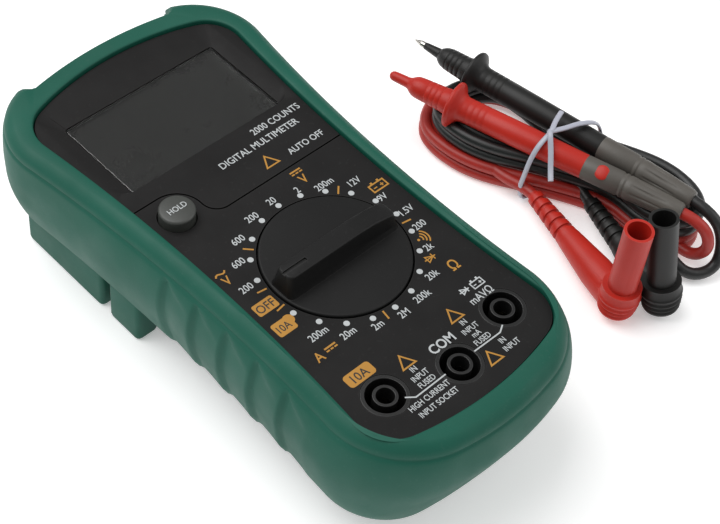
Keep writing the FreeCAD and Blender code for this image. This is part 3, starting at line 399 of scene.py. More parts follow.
NODE_FINISH: dict[str, Finish] = {
    "front_cover": FACE_PLASTIC, "display_plate": FACE_PLASTIC, "rear_cover": CASE_PLASTIC,
    "battery_door": CASE_PLASTIC, "tilt_stand": CASE_PLASTIC, "rear_feet": FOOT_RUBBER,
    "range_knob": KNOB_PLASTIC, "hold_button": BUTTON_GREY, "case_screws": STEEL,
    "battery_door_screw": STEEL, "stand_pin": STEEL, "socket_sleeve_ten_amp": SOCKET_PLASTIC,
    "socket_sleeve_common": SOCKET_PLASTIC, "socket_sleeve_volt_ohm": SOCKET_PLASTIC,
    "socket_contact_ten_amp": PLATED, "socket_contact_common": PLATED, "socket_contact_volt_ohm": PLATED,
    "lcd_holder": WHITE_PLASTIC, "contact_strip": ELASTOMER, "hold_switch": BLACK_PLASTIC,
    "hold_plunger": WHITE_PLASTIC, "main_board": SOLDER_MASK, "control_chip": BLACK_PLASTIC,
    "buzzer": BLACK_PLASTIC, "current_shunt": COPPER, "calibration_trimmer": TRIMMER_BLUE,
    "fuse_tubes": FUSE_GLASS, "fuse_caps": PLATED, "fuse_clips": BRASS, "battery": BATTERY_JACKET,
    "battery_studs": PLATED, "battery_snap": BLACK_PLASTIC, "battery_leads": RED_JACKET,
    "lcd_cell": LCD_GLASS, "detent_springs": STEEL,
    "switch_rotor": WHITE_PLASTIC, "detent_balls": STEEL, "switch_wipers": BRASS,
    "red_plug": RED_PLASTIC, "black_plug": BLACK_LEAD, "red_plug_pin": PLATED, "black_plug_pin": PLATED,
    "red_probe_needle": PLATED, "black_probe_needle": PLATED, "display_window": WINDOW_CLEAR,
}
SOFT_EDGES: dict[str, float] = {
    "front_cover": 0.12, "display_plate": 0.12, "rear_cover": 0.3, "battery_door": 0.25, "tilt_stand": 0.3,
    "rear_feet": 0.4, "range_knob": 0.12, "case_screws": 0.12, "battery_door_screw": 0.1,
    "socket_sleeve_ten_amp": 0.15, "socket_sleeve_common": 0.15, "socket_sleeve_volt_ohm": 0.15,
    "battery": 0.4, "battery_snap": 0.4, "hold_switch": 0.15, "red_plug": 0.12, "black_plug": 0.12,
    "display_window": 0.35, "hold_button": 0.5, "calibration_trimmer": 0.2,
}


# ---- making pieces ------------------------------------------------------------------------------
def finish_piece(name: str, shape: bmesh.types.BMesh, finish: Finish, body: Body,
                 stands_for: Sequence[str] = (), crease: float = 32.0, soften: float = 0.0,
                 scale: float = MM) -> bpy.types.Object:
    """Turn a bmesh into a dressed object that rides on a body.

    Args:
        name: the object's name.
        shape: the bmesh, which is freed.
        finish: the finish it wears.
        body: the body it moves with.
        stands_for: CAD nodes that it is shown instead of.
        crease: angle in degrees above which an edge is shaded sharp.
        soften: width in millimetres of a small round along sharp edges.
        scale: factor from the bmesh's units to metres.
    Returns:
        The new object.
    """
    bmesh.ops.scale(shape, vec=(scale, scale, scale), verts=shape.verts)
    mesh = bpy.data.meshes.new(name)
    shape.to_mesh(mesh)
    shape.free()
    mesh.shade_smooth()
    mesh.set_sharp_from_angle(angle=math.radians(crease))
    piece = bpy.data.objects.new(name, mesh)
    bpy.context.scene.collection.objects.link(piece)
    mesh.materials.append(finish.material())
    if soften > 0:
        rounding = piece.modifiers.new("soft edges", "BEVEL")
        rounding.width = soften * MM
        rounding.segments = 2
        rounding.limit_method = "ANGLE"
        rounding.angle_limit = math.radians(40)
        rounding.harden_normals = True
    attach(piece, body.value)
    if stands_for:
        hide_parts(*stands_for)
    LOG.info("piece %s: %d faces", name, len(mesh.polygons))
    return piece


def skin(rows: Sequence[Sequence[Vector]], ring: bool = True, torus: bool = False) -> bmesh.types.BMesh:
    """Stretch a grid over rows of points.

    Args:
        rows: equally long lists of points, one for each level.
        ring: whether each row closes on itself.
        torus: whether the last row joins the first.
    Returns:
        A bmesh with outward faces.
    """
    levels = [list(row) + ([row[0]] if ring else []) for row in rows]
    if torus:
        levels.append(levels[0])
    across = len(levels[0]) - 1
    along = len(levels) - 1
    shape = bmesh.new()
    bmesh.ops.create_grid(shape, x_segments=across, y_segments=along, size=1.0)
    for vert in shape.verts:
        column = round((vert.co.x + 1) / 2 * across)
        row = round((vert.co.y + 1) / 2 * along)
        vert.co = levels[row][column]
    bmesh.ops.remove_doubles(shape, verts=shape.verts, dist=1e-5)
    bmesh.ops.recalc_face_normals(shape, faces=shape.faces)
    return shape


def turned(profile: Sequence[tuple[float, float]], steps: int = 40) -> bmesh.types.BMesh:
    """Spin a profile into a closed solid of revolution about +Z.

    Args:
        profile: pairs of distance along +Z and radius.
        steps: flats round the circle.
    Returns:
        The closed bmesh.
    """
    shape = bmesh.new()
    points = [shape.verts.new((radius, 0, along)) for along, radius in profile]
    edges = [shape.edges.new(pair) for pair in zip(points, points[1:])]
    bmesh.ops.spin(shape, geom=[*points, *edges], cent=(0, 0, 0), axis=(0, 0, 1), angle=2 * math.pi,
                   steps=steps, use_merge=True)
    bmesh.ops.remove_doubles(shape, verts=shape.verts, dist=1e-5)
    bmesh.ops.holes_fill(shape, edges=shape.edges, sides=0)
    bmesh.ops.recalc_face_normals(shape, faces=shape.faces)
    return shape


def place_along(shape: bmesh.types.BMesh, start: Vector, direction: Vector, spin: float = 0.0) -> None:
    """Move a shape made along +Z to point along a direction.

    Args:
        shape: the bmesh to move.
        start: where its origin goes.
        direction: where its +Z points.
        spin: a turn about its own +Z first, in radians.
    """
    turn = direction.to_track_quat("Z", "Y").to_matrix().to_4x4() @ Matrix.Rotation(spin, 4, "Z")
    bmesh.ops.transform(shape, matrix=Matrix.Translation(start) @ turn, verts=shape.verts)


def join_into(target: bmesh.types.BMesh, part: bmesh.types.BMesh) -> None:
    """Add one bmesh to another and free it.

    Args:
        target: the bmesh that grows.
        part: the bmesh that is added and freed.
    """
    mesh = bpy.data.meshes.new("joining")
    part.to_mesh(mesh)
    part.free()
    target.from_mesh(mesh)
    bpy.data.meshes.remove(mesh)


def block(low: Point, high: Point, rounding: float = 0.0, segments: int = 3) -> bmesh.types.BMesh:
    """Make a box between two corners.

    Args:
        low: the lowest corner.
        high: the highest corner.
        rounding: width of a round along every edge, or 0.
        segments: flats across that round.
    Returns:
        The closed bmesh.
    """
    shape = bmesh.new()
    middle = (Vector(low) + Vector(high)) / 2
    size = Vector(high) - Vector(low)
    bmesh.ops.create_cube(shape, size=1.0, matrix=Matrix.Translation(middle) @ Matrix.Diagonal((*size, 1)))
    if rounding > 0:
        bmesh.ops.bevel(shape, geom=shape.edges[:], offset=rounding, segments=segments, profile=0.5,
                        affect="EDGES", material=-1)
    return shape


def round_grip(shape: bmesh.types.BMesh) -> None:
    """Slope the far end of the knob's bar down towards the disc.

    Args:
        shape: the bar, with sizes in metres.
    """
    top = 40.5 * MM
    for cut in (4.0, 7.0, 9.5, 11.5, 13.5, 15.0):
        bmesh.ops.bisect_plane(shape, geom=shape.verts[:] + shape.edges[:] + shape.faces[:], dist=1e-7,
                               plane_co=(cut * MM, 0, 0), plane_no=(1, 0, 0))
    for vert in shape.verts:
        beyond = max(vert.co.x / MM - 4.0, 0.0) / 13.2
        if vert.co.z > top and abs(vert.co.y / MM - DIAL_Y) < 4.6:
            vert.co.z = top + (vert.co.z - top) * (1 - 0.38 * beyond ** 2)


def node_copy(nodes: dict, node: str, body: Body, finish: Finish, soften: float) -> bpy.types.Object:
    """Show a merged copy of a CAD node with smooth faces and softened edges.

    Args:
        nodes: the CAD nodes by name.
        node: the node to copy.
        body: the body that it moves with.
        finish: the finish that it wears.
        soften: width of the round along sharp edges, in millimetres.
    Returns:
        The copy, standing for the node.
    """
    shape = bmesh.new()
    shape.from_mesh(nodes[node].data)
    bmesh.ops.remove_doubles(shape, verts=shape.verts, dist=1e-6)
    if node == "range_knob":
        round_grip(shape)
    bmesh.ops.dissolve_limit(shape, angle_limit=math.radians(0.4), verts=shape.verts, edges=shape.edges)
    return finish_piece(node + "_look", shape, finish, body, (node,), crease=28.0, soften=soften, scale=1.0)


# ---- outlines -----------------------------------------------------------------------------------
def arc_points(centre: Vector, start: Vector, end: Vector, count: int) -> list[Vector]:
    """Points along the shorter arc round a centre, without its last point.

    Args:
        centre: the middle of the arc.
        start: its first point, which sets the radius.
        end: the point that it stops at.
        count: how many points are given.
    Returns:
        The points.
    """
    a = math.atan2(start.y - centre.y, start.x - centre.x)
    b = math.atan2(end.y - centre.y, end.x - centre.x)
    swing = (b - a + math.pi) % (2 * math.pi) - math.pi
    radius = (start - centre).length
    angles = [a + swing * i / count for i in range(count)]
    return [centre + Vector((radius * math.cos(t), radius * math.sin(t))) for t in angles]


def mirrored(point: Vector) -> Vector:
    """The same point on the other side of the middle line."""
    return Vector((-point.x, point.y))


def circle_through(a: Vector, b: Vector, c: Vector) -> tuple[Vector, float]:
    """Find the circle through three points.

    Args:
        a: the first point.
        b: the second point.
        c: the third point.
    Returns:
        The centre and the radius.
    """
    d = 2 * (a.x * (b.y - c.y) + b.x * (c.y - a.y) + c.x * (a.y - b.y))
    squares = (a.length_squared, b.length_squared, c.length_squared)
    x = (squares[0] * (b.y - c.y) + squares[1] * (c.y - a.y) + squares[2] * (a.y - b.y)) / d
    y = (squares[0] * (c.x - b.x) + squares[1] * (a.x - c.x) + squares[2] * (b.x - a.x)) / d
    centre = Vector((x, y))
    return centre, (a - centre).length


def circles_meet(c0: Vector, r0: float, c1: Vector, r1: float, near: Vector) -> Vector:
    """The crossing of two circles that lies nearest to a point.

    Args:
        c0: middle of the first circle.
        r0: its radius.
        c1: middle of the second circle.
        r1: its radius.
        near: the point that picks between the two crossings.
    Returns:
        The crossing.
    """
    gap = c1 - c0
    d = gap.length
    a = (r0 * r0 - r1 * r1 + d * d) / (2 * d)
    h = math.sqrt(max(r0 * r0 - a * a, 0.0))
    middle = c0 + gap * (a / d)
    side = Vector((-gap.y, gap.x)) * (h / d)
    return min((middle + side, middle - side), key=lambda p: (p - near).length)


@dataclass(frozen=True)
class Outline:
    """A closed outline with two hollow sides, two crowned ends and round corners."""

    waist: float
    far: float
    near: float
    far_side: float
    near_side: float
    far_radius: float
    near_radius: float
    far_corner: float
    near_corner: float
    side_steps: int = 150
    corner_steps: int = 22
    end_steps: int = 60

    def meet(self, end: float, radius: float, sign: float) -> Vector:
        """The corner where a side would cross an end if nothing were rounded.

        Args:
            end: the middle of that end, along Y.
            radius: the radius of that end.
            sign: 1 at the display end and -1 at the socket end.
        Returns:
            The corner.
        """
        side_radius = self.far_side if sign > 0 else self.near_side
        y = end
        for _ in range(30):
            x = self.waist + side_radius - math.sqrt(side_radius ** 2 - (y - WAIST_Y) ** 2)
            y = end - sign * (radius - math.sqrt(radius ** 2 - x ** 2))
        return Vector((x, y))

    def points(self, z: float) -> list[Vector]:
        """Points round the outline at one height.

        Args:
            z: the height.
        Returns:
            The points, from the socket end of the right side and round by the display end.
        """
        far = self.meet(self.far, self.far_radius, 1.0)
        near = self.meet(self.near, self.near_radius, -1.0)
        side_centre, side_radius = circle_through(near, Vector((self.waist, WAIST_Y)), far)
        marks = []
        ends = ((far, Vector((0, self.far - self.far_radius)), self.far_radius, self.far_corner),
                (near, Vector((0, self.near + self.near_radius)), self.near_radius, self.near_corner))
        for corner, end_centre, end_radius, rounding in ends:
            centre = circles_meet(side_centre, side_radius + rounding, end_centre, end_radius - rounding,
                                  corner)
            on_side = side_centre + (centre - side_centre).normalized() * side_radius
            on_end = end_centre + (centre - end_centre).normalized() * end_radius
            marks.append((centre, on_side, on_end, end_centre))
        (far_c, far_side, far_end, far_mid), (near_c, near_side, near_end, near_mid) = marks
        right = arc_points(side_centre, near_side, far_side, self.side_steps)
        right += arc_points(far_c, far_side, far_end, self.corner_steps) + [far_end]
        far_arc = arc_points(far_mid, far_end, mirrored(far_end), self.end_steps)[1:]
        near_arc = arc_points(near_mid, mirrored(near_end), near_end, self.end_steps)
        near_round = arc_points(near_c, near_end, near_side, self.corner_steps)
        left = [mirrored(point) for point in reversed(right)]
        low_left = [mirrored(point) for point in reversed(near_round[1:])]
        ring = right + far_arc + left + low_left + near_arc + near_round
        return [Vector((p.x, p.y, z)) for p in ring]


def face_outline(offset: float) -> Outline:
    """The outline of the control face, grown by an offset."""
    return Outline(26.3 + offset, 67.0 + offset, -64.3 - offset, 500.0 - offset, 500.0 - offset,
                   75.0 + offset, 85.0 + offset, 9.5 + offset, 9.5 + offset)


def smooth_step(value: float) -> float:
    """Ease from 0 to 1."""
    t = min(max(value, 0.0), 1.0)
    return t * t * (3 - 2 * t)


# ---- holster ------------------------------------------------------------------------------------
@dataclass
class Holster:
    """The rubber holster: barrel walls, finger flutes, rolled lip and back pods."""

    waist: float = 34.0
    side_radius: float = 620.0
    far: float = 75.3
    near: float = -73.1
    display_end: float = 55.0
    notch_half: float = 21.8
    notch_far: float = 71.4
    notch_radius: float = 100.0
    flute_first: float = 7.3
    flute_pitch: float = 10.2
    flute_count: int = 5
    flute_length: float = 9.6
    flute_depth: float = 1.25
    pods: Sequence[tuple[float, float]] = ((32.0, 62.0), (18.0, 29.4))
    levels: Sequence[tuple[float, ...]] = (
        (10.0, 4.6, 6.0, 6.4, 100.0, 16.0), (15.0, 2.2, 2.8, 4.4, 95.0, 16.5),
        (22.0, 0.5, 0.5, 1.8, 85.0, 20.0), (28.0, 0.0, 0.0, 0.0, 75.0, 23.0),
        (34.0, 0.9, 0.1, 0.5, 74.0, 23.0), (38.6, 2.9, 0.8, 1.8, 73.0, 22.0),
        (41.3, 5.0, 2.7, 3.6, 72.0, 20.0))

    def level(self, z: float) -> tuple[float, ...]:
        """The insets at a height, on a smooth curve through the set levels.

        Args:
            z: the height.
        Returns:
            The insets of the sides, display end and socket end, then the socket end and corner radii.
        """
        heights = [row[0] for row in self.levels]
        i = max(0, min(len(heights) - 2, sum(1 for h in heights if h <= z) - 1))
        span = heights[i + 1] - heights[i]
        t = (z - heights[i]) / span
        result = []
        for k in range(1, 6):
            value = [row[k] for row in self.levels]
            before = value[i + 1] - value[i] if i == 0 else (value[i + 1] - value[i - 1]) / (
                heights[i + 1] - heights[i - 1]) * span
            after = value[i + 1] - value[i] if i + 2 >= len(heights) else (value[i + 2] - value[i]) / (
                heights[i + 2] - heights[i]) * span
            cubic = (2 * t ** 3 - 3 * t ** 2 + 1) * value[i] + (t ** 3 - 2 * t ** 2 + t) * before
            cubic += (3 * t ** 2 - 2 * t ** 3) * value[i + 1] + (t ** 3 - t ** 2) * after
            result.append(cubic)
        return tuple(result)

    def outline(self, z: float, extra: float = 0.0) -> list[Vector]:
        """Points round the wall at one height.

        Args:
            z: the height.
            extra: how far the whole outline is drawn in.
        Returns:
            The points, with flutes and recess pressed in.
        """
        side, far, near, near_radius, near_corner = self.level(z)
        reach = self.display_end - WAIST_Y
        flare = reach ** 2 / (2 * self.side_radius) + side - far
        shape = Outline(self.waist - side - extra, self.far - far - extra, self.near + near + extra,
                        reach ** 2 / (2 * flare), self.side_radius, 300.0, near_radius - extra,
                        20.0 - far - extra, near_corner - extra)
        return [self.dent(p) for p in shape.points(z)]

    def dent(self, point: Vector) -> Vector:
        """Press the finger flutes and the recess of the display end into the wall.

        Args:
            point: a point on the smooth wall.
        Returns:
            The point after pressing.
        """
        x, y, z = point
        if y > 50 and abs(x) < self.notch_half + 1.2:
            limit = self.notch_far - self.notch_radius + math.sqrt(self.notch_radius ** 2 - x * x)
            blend = smooth_step((self.notch_half + 1.2 - abs(x)) / 2.0)
            y = y + (min(y, limit) - y) * blend
        if -60 < y < self.flute_first:
            for i in range(self.flute_count):
                start = self.flute_first - i * self.flute_pitch
                along = start - y
                length = self.flute_length * smooth_step((38.2 - z) / 6.0) + 0.01
                if 0 <= along < length:
                    entry = smooth_step(along / 1.3)
                    fade = (1 - along / length) ** 0.9
                    low = smooth_step((z - 9.0) / 8.0)
                    x -= math.copysign(self.flute_depth * entry * fade * (0.4 + 0.6 * low), x)
        return Vector((x, y, z))

    def build(self) -> list[bpy.types.Object]:
        """Make the holster.

        Returns:
            Its pieces.
        """
        rows = []
        for z, extra in ((10.0, 1.3), (10.1, 0.7), (10.5, 0.25), (11.2, 0.0)):
            rows.append(self.outline(z, extra))
        rows += [self.outline(12.2 + i * 0.78) for i in range(32)]
        for z, extra in ((37.1, 0.0), (37.35, 0.12), (37.6, 0.3), (37.85, 0.3), (38.1, 0.12), (38.4, 0.0),
                         (39.0, -0.1), (39.6, -0.15), (40.2, -0.05), (40.7, 0.15), (41.05, 0.5), (41.3, 1.0)):
            rows.append(self.outline(z, extra))
        for offset, z in ((1.3, 41.15), (0.8, 41.1), (0.5, 41.0), (0.36, 40.75), (0.35, 40.3), (0.35, 38.5),
                          (2.1, 38.4), (2.1, 36.0), (2.1, 16.0), (-0.8, 12.95)):
            rows.append(face_outline(offset).points(z))
        bay = Outline(24.2, 65.3, -57.3, 9.0e4, 9.0e4, 9.0e4, 9.0e4, 4.3, 4.3)
        rows += [bay.points(12.9), bay.points(10.3), bay.points(10.0)]
        shape = skin(rows, torus=True)
        for low, high in self.pods:
            for side in (-1, 1):
                ends = sorted((side * 25.0, side * 31.6))
                join_into(shape, block((ends[0], low, 0.0), (ends[1], high, 16.0), 1.4))
        return [finish_piece("holster_look", shape, HOLSTER_RUBBER, Body.CASE, ("holster",), crease=50.0)]


# ---- prints -------------------------------------------------------------------------------------
@dataclass(frozen=True)
class Label:
    """One line of generic lettering: its words, middle, capital height and width factor."""

    words: str
    x: float
    y: float
    height: float = 1.95
    stretch: float = 0.86
    weight: float = 0.008


@dataclass
class Prints:
    """Everything screened on the control face in one ink."""

    name: str
    finish: Finish
    body: Body = Body.CASE
    surface: float = FACE_Z
    thickness: float = 0.03
    labels: Sequence[Label] = ()
    strokes: Sequence[tuple[Sequence[tuple[float, float]], float]] = ()
    plates: Sequence[tuple[float, float, float, float, float]] = ()
    dots: Sequence[tuple[float, float, float]] = ()

    def lettering(self, label: Label) -> bmesh.types.BMesh:
        """Turn one line of lettering into a closed solid lying on the surface.

        Args:
            label: the words with their place and size.
        Returns:
            The lettering.
        """
        words = bpy.data.curves.new("lettering", "FONT")
        words.body = label.words
        words.offset = label.weight
        words.extrude = 0.5
        words.resolution_u = 3
        holder = bpy.data.objects.new("lettering", words)
        shape = bmesh.new()
        mesh = bpy.data.meshes.new_from_object(holder)
        shape.from_mesh(mesh)
        bpy.data.objects.remove(holder)
        bpy.data.curves.remove(words)
        bpy.data.meshes.remove(mesh)
        size = label.height / 0.72
        across = [vert.co.x for vert in shape.verts]
        middle = (min(across) + max(across)) / 2
        for vert in shape.verts:
            x, y, z = vert.co
            vert.co = (label.x + (x - middle) * size * label.stretch, label.y + (y - 0.36) * size,
                       self.surface + (z + 0.5) * self.thickness)
        return shape

    def stroke(self, path: Sequence[tuple[float, float]], width: float, lift: float) -> bmesh.types.BMesh:
        """Lay a line of constant width on the surface, mitred at its corners.

        Args:
            path: its points; it closes where the last is the first.
            width: its width.
            lift: extra thickness, so that crossing lines never share a face.
        Returns:
            The closed line.
        """
        flat = [Vector((x, y, 0)) for x, y in path]
        closed = (flat[0] - flat[-1]).length < 1e-6
        core = flat[:-1] if closed else flat
        low, high = self.surface, self.surface + self.thickness + lift
        rows = []
        for i, point in enumerate(core):
            before = core[i - 1] if closed or i > 0 else point - (core[1] - point)
            onward = closed or i + 1 < len(core)
            after = core[(i + 1) % len(core)] if onward else point + (point - core[i - 1])
            into, out = (point - before).normalized(), (after - point).normalized()
            across = (Vector((-into.y, into.x, 0)) + Vector((-out.y, out.x, 0))).normalized()
            reach = width / 2 / max(across.dot(Vector((-into.y, into.x, 0))), 0.35)
            left, right = point + across * reach, point - across * reach
            rows.append([Vector((left.x, left.y, high)), Vector((right.x, right.y, high)),
                         Vector((right.x, right.y, low)), Vector((left.x, left.y, low))])
        shape = skin(rows, torus=closed)
        bmesh.ops.holes_fill(shape, edges=shape.edges, sides=0)
        bmesh.ops.recalc_face_normals(shape, faces=shape.faces)
        return shape

    def plate(self, x: float, y: float, width: float, height: float, corner: float) -> bmesh.types.BMesh:
        """Lay a rectangle with round corners on the surface.

        Args:
            x: its middle, along X.
            y: its middle, along Y.
            width: its size along X.
            height: its size along Y.
            corner: the radius of its corners.
        Returns:
            The closed plate.
        """
        shape = block((x - width / 2, y - height / 2, self.surface),
                      (x + width / 2, y + height / 2, self.surface + self.thickness))
        upright = [e for e in shape.edges if abs(e.verts[0].co.z - e.verts[1].co.z) > self.thickness / 2]
        bmesh.ops.bevel(shape, geom=upright, offset=corner, segments=6, profile=0.5, affect="EDGES",
                        material=-1)
        return shape

    def build(self) -> bpy.types.Object:
        """Make the print as one piece.

        Returns:
            The print.
        """
        shape = bmesh.new()
        for label in self.labels:
            join_into(shape, self.lettering(label))
        for index, (path, width) in enumerate(self.strokes):
            join_into(shape, self.stroke(path, width, 0.003 * (index % 7)))
        for values in self.plates:
            join_into(shape, self.plate(*values))
        for x, y, radius in self.dots:
            dot = bmesh.new()
            middle = Matrix.Translation((x, y, self.surface + self.thickness / 2))
            bmesh.ops.create_cone(dot, cap_ends=True, segments=28, radius1=radius, radius2=radius,
                                  depth=self.thickness, matrix=middle)
            join_into(shape, dot)
        return finish_piece(self.name, shape, self.finish, self.body)


def round_dial(angle: float, radius: float) -> tuple[float, float]:
    """A point at an angle in degrees and a distance from the dial's centre."""
    turn = math.radians(angle)
    return radius * math.cos(turn), DIAL_Y + radius * math.sin(turn)


def arc_path(x: float, y: float, radius: float, low: float, high: float) -> list[tuple[float, float]]:
    """Points along a small arc between two angles in degrees."""
    steps = [math.radians(low + (high - low) * i / 6) for i in range(7)]
    return [(x + radius * math.cos(t), y + radius * math.sin(t)) for t in steps]


def box_path(x: float, y: float, width: float, height: float) -> list[tuple[float, float]]:
    """The path round a rectangle."""
    a, b = width / 2, height / 2
    return [(x - a, y - b), (x + a, y - b), (x + a, y + b), (x - a, y + b), (x - a, y - b)]


def triangle_path(x: float, y: float, width: float) -> list[tuple[float, float]]:
    """The path round an upright triangle."""
    a, b = width / 2, width * 0.45
    return [(x - a, y - b), (x + a, y - b), (x, y + b), (x - a, y - b)]


def diode_paths(x: float, y: float, width: float) -> list[list[tuple[float, float]]]:
    """Draw a small diode sign.

    Args:
        x: its middle, along X.
        y: its middle, along Y.
        width: its whole width.
    Returns:
        The paths of its lines.
    """
    a, b = width / 2, width * 0.28
    return [[(x - a, y), (x + a, y)], [(x - b, y + b), (x - b, y - b), (x + b, y), (x - b, y + b)],
            [(x + b, y + b), (x + b, y - b)]]


def make_prints() -> list[Prints]:
    """Describe the inks: range marks, function signs, socket names and the button's word.

    Returns:
        One group of prints for each ink.
    """
    ranges = [(90, "20", -0.4, 6.7), (72, "2", 6.6, 5.4), (54, "200m", 12.7, 2.7), (36, "12V", 18.9, -1.2),
              (18, "9V", 20.6, -9.0), (0, "1.5V", 22.2, -15.5), (-18, "200", 21.3, -20.7),
              (-36, "2k", 18.2, -26.8), (-54, "20k", 13.0, -33.2), (-72, "200k", 6.9, -36.1),
              (-90, "2M", 0.3, -36.9), (-108, "2m", -6.5, -35.5), (-126, "20m", -13.1, -32.9),
              (-144, "200m", -18.3, -28.8), (162, "200", -21.9, -9.0), (144, "600", -18.5, -2.4),
              (126, "600", -14.1, 2.7), (108, "200", -7.2, 5.8)]
    names = [Label(words, x, y) for _, words, x, y in ranges]
    names += [Label("DIGITAL MULTIMETER", 9.7, 22.2, 2.0, 0.9), Label("2000 COUNTS", 18.0, 25.8, 2.0, 0.86),
              Label("AUTO OFF", 18.6, 15.5, 1.9, 0.86), Label("COM", 0.8, -48.3, 2.5, 0.92, 0.02),
              Label("mAV\u03a9", 17.4, -44.5, 2.1, 0.86)]
    small = [("IN", -8.9, -49.2), ("INPUT", -8.9, -51.3), ("FUSED", -8.9, -53.4), ("IN", 8.7, -47.3),
             ("INPUT", 8.7, -49.5), ("mA", 8.7, -51.3), ("FUSED", 8.7, -53.3), ("IN", 11.8, -56.4),
             ("INPUT", 12.6, -58.6), ("HIGH CURRENT", -11.2, -56.5), ("INPUT SOCKET", -10.8, -59.0)]
    names += [Label(words, x, y, 1.5, 0.8) for words, x, y in small]
    marks = [round_dial(angle, 19.5) for angle, *_ in ranges] + [round_dial(-162, 19.5)]
    brackets = [([(-15.6, -53.4), (-13.7, -54.9), (-4.5, -54.8)], 0.35),
                ([(4.8, -54.6), (13.0, -54.7), (14.9, -53.6)], 0.35),
                (box_path(19.2, -41.6, 3.2, 1.8), 0.3), ([(18.1, -40.3), (18.6, -40.3)], 0.5),
                ([(19.8, -40.3), (20.3, -40.3)], 0.5), ([(18.0, -41.7), (18.8, -41.7)], 0.25),
                ([(19.6, -41.7), (20.4, -41.7)], 0.25), ([(20.0, -42.1), (20.0, -41.3)], 0.25)]
    brackets += [(path, 0.3) for path in diode_paths(15.3, -41.3, 2.8)]
    white = Prints("white_marks", WHITE_INK, labels=names, strokes=brackets,
                   dots=[(x, y, 0.74) for x, y in marks])
    signs = [([round_dial(angle, 18.7), round_dial(angle, 21.2)], 0.42)
             for angle in (45, 135, 171, -171, -99, -9)]
    signs += [(triangle_path(x, y, 3.8), 0.4)
              for x, y in ((7.7, 16.5), (-8.9, -46.4), (8.4, -44.3), (6.8, -58.1))]
    signs += [([(8.6, 10.1), (11.8, 10.1)], 0.45), ([(8.6, 9.3), (9.5, 9.3)], 0.4),
              ([(9.8, 9.3), (10.6, 9.3)], 0.4), ([(10.9, 9.3), (11.8, 9.3)], 0.4)]
    signs += [([(-20.2, -32.9), (-17.0, -32.9)], 0.45), ([(-20.2, -33.7), (-19.3, -33.7)], 0.4),
              ([(-19.0, -33.7), (-18.2, -33.7)], 0.4), ([(-17.9, -33.7), (-17.0, -33.7)], 0.4)]
    signs += [(box_path(22.4, -5.9, 4.4, 2.2), 0.4), ([(21.1, -4.4), (21.7, -4.4)], 0.6),
              ([(23.1, -4.4), (23.7, -4.4)], 0.6), ([(20.9, -6.0), (21.9, -6.0)], 0.3),
              ([(22.9, -6.0), (23.9, -6.0)], 0.3), ([(23.4, -6.5), (23.4, -5.5)], 0.3)]
    signs += [(arc_path(18.2, -24.0, radius, -50, 50), 0.36) for radius in (0.9, 1.7, 2.5)]
    signs += [(path, 0.3) for path in diode_paths(16.1, -29.5, 3.2)]
    signs += [([(-25.3, -2.7), (-24.9, -2.2), (-24.4, -2.1), (-23.2, -2.6), (-22.7, -2.5),
                (-22.3, -2.0)], 0.42)]
    amber = Prints("amber_marks", AMBER_INK, strokes=signs, dots=[(17.9, -24.0, 0.35)],
                   plates=[(-22.0, -15.6, 5.8, 3.5, 0.5), (-22.6, -22.5, 5.2, 4.0, 0.6),
                           (-18.9, -42.7, 7.6, 3.6, 0.9)],
                   labels=[Label("V", 10.2, 7.1, 2.6, 0.9, 0.012), Label("V", -23.8, -4.6, 2.5, 0.9, 0.012),
                           Label("A", -22.4, -33.5, 2.6, 0.9, 0.012),
                           Label("\u03a9", 18.8, -34.3, 2.9, 0.9, 0.012)])
    tag = Prints("amber_pointer_tag", AMBER_INK, thickness=0.028,
                 dots=[(-20.6, -21.7, 1.45)])
    dark = Prints("dark_marks", DARK_INK, surface=FACE_Z + 0.032, thickness=0.02,
                  labels=[Label("OFF", -22.0, -15.6, 2.3, 0.9), Label("10A", -22.7, -22.5, 2.0, 0.86),
                          Label("10A", -18.9, -42.7, 2.3, 0.95)])
    hold = Prints("hold_word", WHITE_INK, body=Body.HOLD, surface=43.2,
                  labels=[Label("HOLD", -20.3, 16.8, 1.6, 0.86)])
    return [white, amber, tag, dark, hold]


